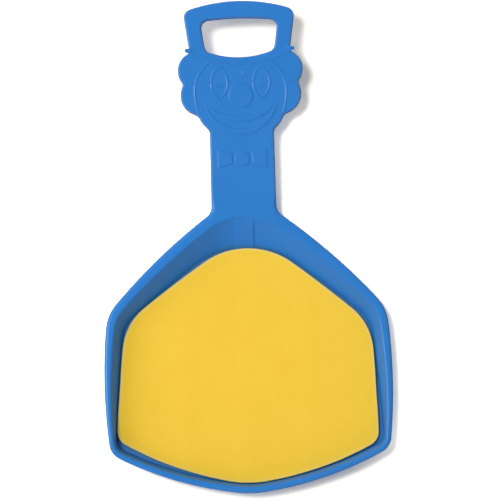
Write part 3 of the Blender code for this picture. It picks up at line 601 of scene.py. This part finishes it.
def fill(bm, loops, points, height):
    """Triangles over the points and the loops' own vertices; height gives each point's z."""
    verts = [v for loop in loops for v in loop]
    plan = [Vector((v.co.x, v.co.y)) for v in verts] + [Vector((p.real, p.imag)) for p in points]
    faces, start = [], 0
    for loop in loops:
        faces.append(list(range(start, start + len(loop))))
        start += len(loop)
    verts += [bm.verts.new((p.real, p.imag, z)) for p, z in zip(points, height)]
    _, _, triangles, origins, _, inside_of = delaunay_2d_cdt(plan, [], faces, 0, SAME_PLACE)
    used = set()
    for corners, within in zip(triangles, inside_of):
        if list(within) == [0]:
            bm.faces.new([verts[origins[i][0]] for i in corners])
            used.update(origins[i][0] for i in corners)
    for i in range(start, len(verts)):
        if i not in used:
            bm.verts.remove(verts[i])


def lift(bm):
    """Cut the mesh across the bend and raise everything beyond its start."""
    for i in range(BEND_CUTS):
        cut = BEND_START + BEND_LENGTH * i / (BEND_CUTS - 1)
        bmesh.ops.bisect_plane(bm, geom=bm.verts[:] + bm.edges[:] + bm.faces[:],
                               dist=SAME_PLACE, plane_co=(0, cut, 0), plane_no=(0, 1, 0))
    for vert in bm.verts:
        vert.co.z += rise_at(vert.co.y)


def tip_share(p):
    """How far an outline point belongs to a tip of the brim, from 0 to 1."""
    middle = HEAD_Y + (BRIM_TIP_TOP + BRIM_TIP_FOOT) / 2
    half = (BRIM_TIP_TOP - BRIM_TIP_FOOT) / 2
    off = abs(p.imag - middle) / half
    if off >= 1 or abs(p.real) <= TIP_OUTER_X:
        return 0.0
    return (1 - off ** TIP_SQUARENESS) ** (1 / TIP_SQUARENESS)


def with_tips(points, normals):
    """The outline with enough points for the brim's tips."""
    low, high = HEAD_Y + BRIM_TIP_FOOT - PITCH, HEAD_Y + BRIM_TIP_TOP + PITCH
    spots = []
    count = len(points)
    for i in range(count):
        p, q = points[i], points[(i + 1) % count]
        n, m = normals[i], normals[(i + 1) % count]
        near = low < p.imag < high and abs(p.real) > TIP_OUTER_X
        steps = ceil(abs(q - p) / TIP_PITCH) if near else 1
        for k in range(steps):
            normal = n + (m - n) * k / steps
            spots.append((p + (q - p) * k / steps, normal / abs(normal)))
    return [p for p, n in spots], [n for p, n in spots]


def wall_section(run, shift, top_round, foot_round):
    """(inwards, up) points of the bowl's section, from the deck over the wall to the floor."""
    slope = atan2(BOWL_DEPTH, run)
    half_tan = tan(slope / 2)
    top_x, top_z = shift * half_tan, RIM_HEIGHT + shift
    foot_x, foot_z = top_x + run, top_z - BOWL_DEPTH
    points = []
    for i in range(ROUND_STEPS + 1):
        turn = slope * i / ROUND_STEPS
        points.append((top_x - top_round * (half_tan - sin(turn)),
                       top_z - top_round * (1 - cos(turn))))
    foot = []
    for i in range(ROUND_STEPS + 1):
        turn = slope * (1 - i / ROUND_STEPS)
        foot.append((foot_x + foot_round * (half_tan - sin(turn)),
                     foot_z + foot_round * (1 - cos(turn))))
    (high_x, high_z), (low_x, low_z) = points[-1], foot[0]
    for i in range(1, WALL_STEPS):
        share = i / WALL_STEPS
        points.append((high_x + (low_x - high_x) * share, high_z + (low_z - high_z) * share))
    return points + foot


def hit(start, direction, loop):
    """Distance from start along the direction to the nearest side of a closed loop."""
    a = np.array(loop)
    side = np.roll(a, -1) - a
    across = (direction.conjugate() * side).imag
    along = ((a - start).conjugate() * side).imag / across
    share = ((a - start).conjugate() * direction).imag / across
    met = (share >= 0) & (share <= 1) & (along > 0)
    return float(along[met].min())


def rim_rays():
    """Points of the bowl's opening, the plan ways down the wall from them, and the wall's runs.

    The ways are square to the rim, but straight along the sled where the centre band comes up.
    """
    points, normals = outline(opening_corners())
    wanted = [side * (BAND_HALF + k * BAND_EDGE) for side in (-1, 1) for k in BAND_SHOULDERS]
    spots = []
    for p, q, n in zip(points, points[1:] + points[:1], normals):
        spots.append((p, n))
        if p.imag > FRONT_Y:
            shares = sorted((x - p.real) / (q.real - p.real) for x in wanted
                            if min(p.real, q.real) < x < max(p.real, q.real))
            spots += [(p + (q - p) * share, n) for share in shares]
    floor, _ = outline(floor_corners())
    rays = []
    for p, n in spots:
        if p.imag > FRONT_Y:
            fan = float(smooth((abs(p.real) - FAN_START) / FAN_REACH))
            n = complex(n.real * fan, n.imag)
            n /= abs(n)
        rays.append((p, -n, hit(p, -n, floor)))
    return rays


def bowl_rings(bm, shift, top_round, foot_round):
    """Loops of one side of the bowl, from the deck down to the floor, with the bands on them."""
    rays = rim_rays()
    plain = [wall_section(run, shift, top_round, foot_round) for _, _, run in rays]
    rings = []
    for level in range(len(plain[0])):
        spots = np.array([p + way * s[level][0] for (p, way, _), s in zip(rays, plain)])
        below_rim = RIM_HEIGHT - np.array([s[level][1] for s in plain])
        raised = band_at(spots) * smooth(below_rim / BAND_STOP_BELOW_RIM - 1)
        verts = []
        for (p, way, run), rise in zip(rays, raised):
            inwards, up = wall_section(run, shift + rise, top_round, foot_round - rise)[level]
            spot = p + way * inwards
            verts.append(bm.verts.new((spot.real, spot.imag, up)))
        rings.append(verts)
    return rings


def edge_rounds(points):
    """How far the deck's edge rolls at each silhouette point: wide on the pan, tight beyond."""
    rim = np.array(outline(opening_corners())[0])
    rounds = []
    for p in points:
        width = min(float(np.abs(rim - p).min()), RIM_DIAGONAL)
        free = width - LIP_PROUD - SKIRT_DRAFT - TOP_ROUND
        ease = float(smooth((p.imag - BEND_START) / BEND_LENGTH))
        rounds.append((1 - ease) * CROWN_SHARE * free + ease * HANDLE_ROUND)
    return rounds


def skirt_rings(bm, points, normals, rounds, shapes):
    """Outer loops from the foot of the skirt to the deck, and inner loops back to its underside.

    The rounds are negative around a hole, where the plastic lies outside the outline.
    """
    way = copysign(1, rounds[0])
    foot = RIM_HEIGHT - SKIRT_DEPTH
    lip_top = foot + LIP_HEIGHT
    lip = way * LIP_PROUD
    skirt = way * (LIP_PROUD + SKIRT_DRAFT)
    inner_face = way * (LIP_PROUD + SKIRT_WALL)
    outer = [ring(bm, points, foot), ring(bm, points, lip_top),
             ring(bm, inset(points, normals, lip), lip_top + LIP_SLOPE),
             ring(bm, inset(points, normals, skirt), RIM_HEIGHT - TIP_UNDER)]
    shares = [tip_share(p) for p in points]
    inmost = inset(points, normals, [skirt + r for r in rounds])
    for i in range(ROUND_STEPS + 1):
        turn = pi / 2 * i / ROUND_STEPS
        plan = inset(points, normals, [skirt + r * (1 - cos(turn)) for r in rounds])
        raised = relief_at(np.array(plan), shapes) * sin(turn)
        reach, level = TIP_SECTION[i]
        heights = []
        for k, (p, share) in enumerate(zip(points, shares)):
            tip = inmost[k] + (complex(copysign(BRIM_HALF, p.real), p.imag) - inmost[k]) * reach
            plan[k] += (tip - plan[k]) * share
            plain = raised[k] - CROWN_DROP * (1 - sin(turn))
            heights.append(RIM_HEIGHT + plain + (level - plain) * share)
        outer.append(ring(bm, plan, heights))
    inner = [ring(bm, inset(points, normals, inner_face), foot),
             ring(bm, inset(points, normals, inner_face + way * SKIRT_DRAFT), RIM_HEIGHT - WALL)]
    return outer, inner


def plan_of(loop):
    """Plan points below a loop of vertices."""
    return [complex(v.co.x, v.co.y) for v in loop]


def fill_deck(bm, loops, shapes):
    """The deck's top, fine where the face is moulded and plain elsewhere."""
    plans = [plan_of(loop) for loop in loops]
    wanted = []
    for shape in shapes:
        for a, b in pairwise(shape.path):
            across = 1j * (b - a) / abs(b - a)
            wanted += [a + across * offset * side for offset in shape.offsets for side in (-1, 1)]
    border = [p for plan in plans for p in plan]
    lines = thin_out(between(np.array(wanted), plans), border, LEAST_APART)
    top = complex(EAR_HALF + UPPER_LOBE, HAT_Y + HAT_HEIGHT + HAT_FILLET)
    low = complex(-top.real, NECK_FOOT_Y)
    fine = thin_out(grid_points(plans, FINE_GRID, low, top), border + lines, FINE_APART)
    rest = thin_out(grid_points(plans, PLAIN_GRID, *PAN_BOX), border, PLAIN_APART)
    points = np.array(lines + fine + rest)
    fill(bm, loops, points, RIM_HEIGHT + relief_at(points, shapes))


def fill_floor(bm, loop, base):
    """The floor's top or underside, with the raised bands or the grooves."""
    plan = plan_of(loop)
    wanted = []
    for at, half, start, end in ((0.0, BAND_HALF, BAND_START, NECK_FOOT_Y),
                                 (-SIDE_BAND_AT, SIDE_BAND_HALF, SIDE_BAND_START, SIDE_BAND_END),
                                 (SIDE_BAND_AT, SIDE_BAND_HALF, SIDE_BAND_START, SIDE_BAND_END)):
        for k in BAND_LINES:
            edge = half + k * BAND_EDGE
            corners = [complex(at - edge, start - k * BAND_EDGE),
                       complex(at + edge, start - k * BAND_EDGE),
                       complex(at + edge, end + k * BAND_EDGE),
                       complex(at - edge, end + k * BAND_EDGE)]
            for a, b in zip(corners, corners[1:] + corners[:1]):
                wanted += straight_path(a, b, 2 * LINE_PITCH)
    lines = thin_out(between(np.array(wanted), [plan]), plan, LEAST_APART)
    rest = thin_out(grid_points([plan], PLAIN_GRID, *PAN_BOX), plan + lines, PLAIN_APART)
    points = np.array(lines + rest)
    fill(bm, [loop], points, base + band_at(points))


def rib(bm, at):
    """Stiffener along the underside of the neck, less the side where it joins the deck."""
    start = BEND_START + BEND_LENGTH + RIB_START_AFTER_BEND
    end = HEAD_Y + RIB_END_RISE
    loops = []
    for half, drop in ((RIB_THICK / 2, 0.0), (RIB_THICK / 2 - RIB_DRAFT, RIB_DEPTH)):
        plan = [complex(at - half, start + drop / 2), complex(at + half, start + drop / 2),
                complex(at + half, end - drop / 2), complex(at - half, end - drop / 2)]
        loops.append(ring(bm, plan, RIM_HEIGHT - WALL - drop))
    bridge(bm, loops)
    bm.faces.new(loops[1])
    return loops[0]


def shell_mesh():
    """The moulded shell with its relief, bands and grooves, as one closed surface."""
    bm = bmesh.new()
    shapes = reliefs()
    points, normals = with_tips(*outline(silhouette_corners()))
    outer, inner = skirt_rings(bm, points, normals, edge_rounds(points), shapes)
    hole, hole_normals = outline(gap_corners())
    hole_outer, hole_inner = skirt_rings(bm, hole, hole_normals, [-HANDLE_ROUND] * len(hole),
                                         shapes)
    top = bowl_rings(bm, 0.0, TOP_ROUND, FLOOR_ROUND)
    under = bowl_rings(bm, -WALL, TOP_ROUND_UNDER, FLOOR_ROUND + WALL)
    for outside, within in ((outer, inner), (hole_outer, hole_inner)):
        bridge(bm, outside)
        bridge(bm, [outside[0]] + within)
    bridge(bm, top)
    bridge(bm, under)
    fill_deck(bm, [outer[-1], hole_outer[-1], top[0]], shapes)
    cap(bm, inner[-1], hole_inner[-1], under[0], rib(bm, -RIB_AT), rib(bm, RIB_AT))
    fill_floor(bm, top[-1], FLOOR_TOP)
    fill_floor(bm, under[-1], FLOOR_TOP - WALL)
    lift(bm)
    return bm


def make_shell():
    """The moulded shell, in place of the frame's plain one."""
    shell = placed(shell_mesh(), "sled_shell", ["blue_plastic"])
    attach(shell, BODY)
    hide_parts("shell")
    return shell


def swell_at(points):
    """How far the bands under the foam show on its top; the middle one runs on to the rear."""
    return PAD_SWELL * on_bands(points, PAD_SWELL_EDGE, 0.0)


def pad_mesh():
    """The foam's surface in plan places, with a layer that is 1 at the cut's top edge."""
    bm = bmesh.new()
    pale = bm.verts.layers.float.new("pale")
    points, normals = outline(pad_corners())
    wander = [PAD_WANDER * (sin(p.real * WANDER_ACROSS + WANDER_START)
                            + sin(p.imag * WANDER_ALONG) + sin(abs(p) * WANDER_OUT))
              for p in points]
    points = inset(points, normals, wander)
    thick = PAD_TOP - PAD_Z
    cut = [ring(bm, inset(points, normals, PAD_CUT_SLANT), 0.0), ring(bm, points, PAD_CUT_SLANT)]
    for i in range(ROUND_STEPS + 1):
        turn = pi / 2 * i / ROUND_STEPS
        cut.append(ring(bm, inset(points, normals, PAD_EDGE_ROUND * (1 - cos(turn))),
                        thick - PAD_EDGE_ROUND * (1 - sin(turn))))
    bridge(bm, cut)
    for face in bm.faces:
        face.material_index = 1
    cap(bm, cut[0])
    top = [cut[-1]]
    for i in range(1, PAD_PALE_STEPS + 1):
        reach = PAD_EDGE_ROUND + PAD_PALE_REACH * i / PAD_PALE_STEPS
        top.append(ring(bm, inset(points, normals, reach), thick))
    for i, loop in enumerate(top):
        for vert in loop:
            vert[pale] = (1 - i / PAD_PALE_STEPS) ** 2
    bridge(bm, top)
    plan = plan_of(top[-1])
    grid = np.array(thin_out(grid_points([plan], PAD_GRID, *PAN_BOX), plan, PAD_GRID / 2))
    fill(bm, [top[-1]], grid, thick + swell_at(grid))
    middle = (min(p.imag for p in points) + max(p.imag for p in points)) / 2
    skew = Matrix.Rotation(PAD_SKEW, 4, "Z")
    bm.transform(Matrix.Translation((0, middle, PAD_Z)) @ skew @ Matrix.Translation((0, -middle, 0)))
    return bm


def make_pad():
    """Foam pad with a knife-cut edge; the bands under it show faintly on its top."""
    pad = placed(pad_mesh(), "foam_pad", ["yellow_foam", "foam_cut"])
    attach(pad, BODY)
    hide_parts("seat_pad")
    return pad


class Nodes:
    """Short way to add and join shader nodes of one material."""

    def __init__(self, name):
        self.material = bpy.data.materials.new(name)
        self.material.use_nodes = True
        self.tree = self.material.node_tree
        self.shader = self.tree.nodes["Principled BSDF"]
        self.place = self.add("ShaderNodeTexCoord").outputs["Object"]

    def add(self, kind, settings=None, **values):
        """Node with its settings, and a value or a link for each named socket."""
        node = self.tree.nodes.new(kind)
        for key, value in (settings or {}).items():
            setattr(node, key, value)
        for key, value in values.items():
            self.give(node.inputs[key.replace("_", " ")], value)
        return node

    def give(self, socket, value):
        if isinstance(value, bpy.types.NodeSocket):
            self.tree.links.new(value, socket)
        else:
            socket.default_value = value

    def noise(self, waves, detail=2.0, stretch=(1.0, 1.0, 1.0), roughness=0.5):
        """Noise from 0 to 1, so many waves a metre, drawn out along an axis by a small stretch."""
        at = self.add("ShaderNodeMapping", Vector=self.place, Scale=stretch).outputs[0]
        return self.add("ShaderNodeTexNoise", Vector=at, Scale=waves, Detail=detail,
                        Roughness=roughness).outputs["Fac"]

    def ranged(self, value, low, high, start=0.0, end=1.0):
        """Value that goes from low to high where the first goes from start to end."""
        node = self.add("ShaderNodeMapRange", Value=value, From_Min=start, From_Max=end,
                        To_Min=low, To_Max=high)
        return node.outputs[0]

    def maths(self, operation, *values):
        """Outcome of one operation on values or links."""
        node = self.add("ShaderNodeMath", {"operation": operation})
        for socket, value in zip(node.inputs, values):
            self.give(socket, value)
        return node.outputs[0]

    def along(self, axis, vector):
        """A vector's part along X, Y or Z."""
        return self.add("ShaderNodeSeparateXYZ", Vector=vector).outputs[axis]

    def tinted(self, share, first, second):
        """Colour between two, by a share from 0 to 1."""
        node = self.add("ShaderNodeMix", {"data_type": "RGBA"})
        self.give(node.inputs[0], share)
        for socket, value in ((node.inputs[6], first), (node.inputs[7], second)):
            linked = isinstance(value, bpy.types.NodeSocket)
            self.give(socket, value if linked else (*value, 1.0))
        return node.outputs[2]

    def bumped(self, height, depth, under=None):
        """Normal of a relief this deep, laid over another normal."""
        node = self.add("ShaderNodeBump", Height=height, Distance=depth, Strength=1.0)
        if under:
            self.give(node.inputs["Normal"], under)
        return node.outputs[0]

    def finish(self, **values):
        """The material, with a value or a link for each named socket of its shader."""
        for key, value in values.items():
            self.give(self.shader.inputs[key.replace("_", " ")], value)
        return self.material


def blue_plastic():
    """Moulded polyethylene: faint flow marks, a fine orange peel and light scuffs.

    The bowl's inside is more matt, and painted brighter and bluer as light on its walls; low on its
    floor, faces turned up are painted darker and greyer as shade.
    """
    n = Nodes("blue_plastic")
    flow = n.ranged(n.noise(FLOW_WAVES, 3, (1.0, 0.16, 1.0)), 0.0, 1.0, 0.30, 0.70)
    cloud = n.ranged(n.noise(CLOUD_WAVES), 0.0, 1.0, 0.30, 0.70)
    colour = n.tinted(cloud, n.tinted(flow, PLASTIC_DARK, PLASTIC_LIGHT), PLASTIC_CLOUD)
    height = n.along("Z", n.place)
    # painted light: below the rim's level the colour is tinted brighter and bluer, and the plastic is
    # made more matt
    bowl = n.ranged(height, 1.0, 0.0, MATT_AND_LIT_BELOW - MATT_AND_LIT_REACH, MATT_AND_LIT_BELOW)
    facing = n.along("Z", n.add("ShaderNodeNewGeometry").outputs["Normal"])
    # painted shade: low faces turned up, on the bowl's floor, are tinted darker and greyer
    floor_shade = n.maths("MULTIPLY", n.ranged(height, 1.0, 0.0, *FLOOR_SHADE_HEIGHTS),
                   n.ranged(facing, 0.0, 1.0, *FLOOR_SHADE_FACING))
    colour = n.tinted(floor_shade, n.tinted(bowl, colour, PAINTED_BOWL_LIGHT), PAINTED_FLOOR_SHADE)
    scuffs = n.ranged(n.noise(SCUFF_WAVES, 2, (1.0, 0.05, 1.0)), 0.0, 1.0, 0.62, 0.75)
    plain = n.maths("ADD", n.ranged(n.noise(ROUGH_WAVES, 3), *PLASTIC_ROUGH),
                    n.ranged(bowl, 0.0, MATT_MORE))
    peel = n.bumped(n.noise(PEEL_WAVES), PEEL_DEPTH)
    return n.finish(Base_Color=colour, IOR=1.51, Specular_IOR_Level=PLASTIC_SPECULAR,
                    Roughness=n.maths("MULTIPLY_ADD", scuffs, SCUFF_ROUGH, plain),
                    Normal=n.bumped(n.noise(WAVE_WAVES, 2, (1.0, 0.5, 1.0)), WAVE_DEPTH, peel))


def yellow_foam(name, light, dark, pores):
    """Closed-cell foam: a fine grain, a paler zone along the cut, and cells as deep as the pores."""
    n = Nodes(name)
    grain = n.ranged(n.noise(GRAIN_WAVES, 3, roughness=0.7), 0.0, 1.0, 0.32, 0.68)
    patch = n.ranged(n.noise(PATCH_WAVES, 3), 0.0, 1.0, 0.30, 0.70)
    colour = n.tinted(PATCH_SHARE, n.tinted(grain, dark, light), n.tinted(patch, dark, light))
    pale = n.add("ShaderNodeAttribute", {"attribute_name": "pale"}).outputs["Fac"]
    cells = n.add("ShaderNodeTexVoronoi", Vector=n.place, Scale=CELL_WAVES).outputs["Distance"]
    skin = n.bumped(n.noise(SKIN_WAVES, 3, roughness=0.7), pores / 2, n.bumped(cells, pores))
    return n.finish(Base_Color=n.tinted(pale, colour, FOAM_PALE), Normal=skin, IOR=1.45,
                    Roughness=n.ranged(n.noise(FOAM_ROUGH_WAVES), *FOAM_ROUGH))


def clear_tape():
    """Milky double-sided tape with the weave of its carrier."""
    n = Nodes("clear_tape")
    weave = n.noise(WEAVE_WAVES, 1, (1.0, 0.2, 1.0))
    colour = n.tinted(n.ranged(weave, 0.0, 1.0, 0.3, 0.7), TAPE_DARK, TAPE_LIGHT)
    return n.finish(Base_Color=colour, Roughness=n.ranged(n.noise(TAPE_ROUGH_WAVES), *TAPE_ROUGH),
                    Normal=n.bumped(weave, WEAVE_DEPTH))


MATERIALS = {
    "blue_plastic": blue_plastic(),
    "yellow_foam": yellow_foam("yellow_foam", FOAM_LIGHT, FOAM_DARK, FOAM_PORES),
    "foam_cut": yellow_foam("foam_cut", CUT_LIGHT, CUT_DARK, CUT_PORES),
    "clear_tape": clear_tape(),
}


def placed(bm, name, materials):
    """The mesh as a smooth object, moved from plan places into the frame."""
    bmesh.ops.recalc_face_normals(bm, faces=bm.faces[:])
    mesh = bpy.data.meshes.new(name)
    bm.to_mesh(mesh)
    bm.free()
    mesh.transform(Matrix.Translation((0, PLAN_TO_FRAME, 0)))
    mesh.shade_smooth()
    mesh.set_sharp_from_angle(angle=SHARP_ANGLE)
    for material in materials:
        mesh.materials.append(MATERIALS[material])
    obj = bpy.data.objects.new(name, mesh)
    bpy.context.scene.collection.objects.link(obj)
    return obj


def make_tapes():
    """The tapes stay as the frame has them, with their own material."""
    for name in ("tape_left", "tape_centre", "tape_right"):
        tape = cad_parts[name]
        tape.data.materials.clear()
        tape.data.materials.append(MATERIALS["clear_tape"])


def make_floor():
    """Pale floor, white to the camera and in reflections, that keeps the sled's shadow.

    Beside the pan and the neck it is seen paler, or their shadow would be darker than the rest.
    From below it is clear.
    """
    bm = bmesh.new()
    bmesh.ops.create_circle(bm, cap_ends=True, segments=FLOOR_SIDES, radius=FLOOR_RADIUS)
    mesh = bpy.data.meshes.new("floor")
    bm.to_mesh(mesh)
    bm.free()
    floor = bpy.data.objects.new("floor", mesh)
    floor.location.z = -FLOOR_GAP
    bpy.context.scene.collection.objects.link(floor)
    n = Nodes("floor")
    n.tree.nodes.remove(n.shader)
    path = n.add("ShaderNodeLightPath").outputs
    colour = n.tinted(path["Is Glossy Ray"], FLOOR_PLAIN, FLOOR_REFLECTED)
    colour = n.tinted(path["Is Transmission Ray"], colour, FLOOR_REFLECTED)
    along = n.along("Y", n.place)
    ends = n.maths("ADD", n.ranged(along, 1.0, 0.0, *REAR_ZONE), n.ranged(along, 0.0, 1.0, *HAT_ZONE))
    colour = n.tinted(path["Is Camera Ray"], colour, n.tinted(ends, FLOOR_SEEN, FLOOR_ENDS))
    lit = n.add("ShaderNodeBsdfDiffuse", Color=colour)
    below = n.add("ShaderNodeMixShader", Fac=n.add("ShaderNodeNewGeometry").outputs["Backfacing"])
    n.give(below.inputs[1], lit.outputs[0])
    n.give(below.inputs[2], n.add("ShaderNodeBsdfTransparent").outputs[0])
    n.give(n.tree.nodes["Material Output"].inputs["Surface"], below.outputs[0])
    mesh.materials.append(n.material)


def lamp(name, place, size, power):
    """Square studio light at a place, turned to the sled."""
    data = bpy.data.lights.new(name, "AREA")
    data.size = size
    data.energy = power
    obj = bpy.data.objects.new(name, data)
    obj.location = place
    obj.rotation_euler = (-Vector(place)).to_track_quat("-Z", "Y").to_euler()
    bpy.context.scene.collection.objects.link(obj)
    return obj


def make_light():
    """A key high on the upper left, soft panels on the left and the rear, and even light all round.

    The key is kept out of reflections, or it would lay a veil on the deck that the photograph lacks.
    The strip is there only for the light lines on the turned edges.
    """
    lamp("key", KEY_PLACE, KEY_SIZE, KEY_POWER).visible_glossy = False
    lamp("left_panel", LEFT_PLACE, LEFT_SIZE, LEFT_POWER)
    lamp("strip", STRIP_PLACE, STRIP_SIZE, STRIP_POWER).visible_diffuse = False
    lamp("rear_panel", REAR_PLACE, REAR_SIZE, REAR_POWER)
    world = bpy.data.worlds.new("studio")
    world.use_nodes = True
    tree = world.node_tree
    mix = tree.nodes.new("ShaderNodeMixShader")
    path = tree.nodes.new("ShaderNodeLightPath")
    tree.links.new(path.outputs["Is Camera Ray"], mix.inputs[0])
    plain, white = tree.nodes["Background"], tree.nodes.new("ShaderNodeBackground")
    for node, strength, socket in ((plain, WORLD_LIGHT, mix.inputs[1]), (white, 1.0, mix.inputs[2])):
        node.inputs["Color"].default_value = (1.0, 1.0, 1.0, 1.0)
        node.inputs["Strength"].default_value = strength
        tree.links.new(node.outputs[0], socket)
    tree.links.new(mix.outputs[0], tree.nodes["World Output"].inputs["Surface"])
    bpy.context.scene.world = world


def make_camera():
    """The photograph's view, straight down."""
    data = bpy.data.cameras.new("camera")
    data.sensor_fit = "HORIZONTAL"
    data.sensor_width = CAMERA_SENSOR
    data.lens = CAMERA_LENS
    camera = bpy.data.objects.new("camera", data)
    camera.location = CAMERA_PLACE
    camera.rotation_euler.z = CAMERA_TURN
    bpy.context.scene.collection.objects.link(camera)
    bpy.context.scene.camera = camera


make_shell()
make_pad()
make_tapes()
make_floor()
make_light()
make_camera()
bpy.context.scene.view_settings.view_transform = "Standard"
bpy.context.view_layer.update()
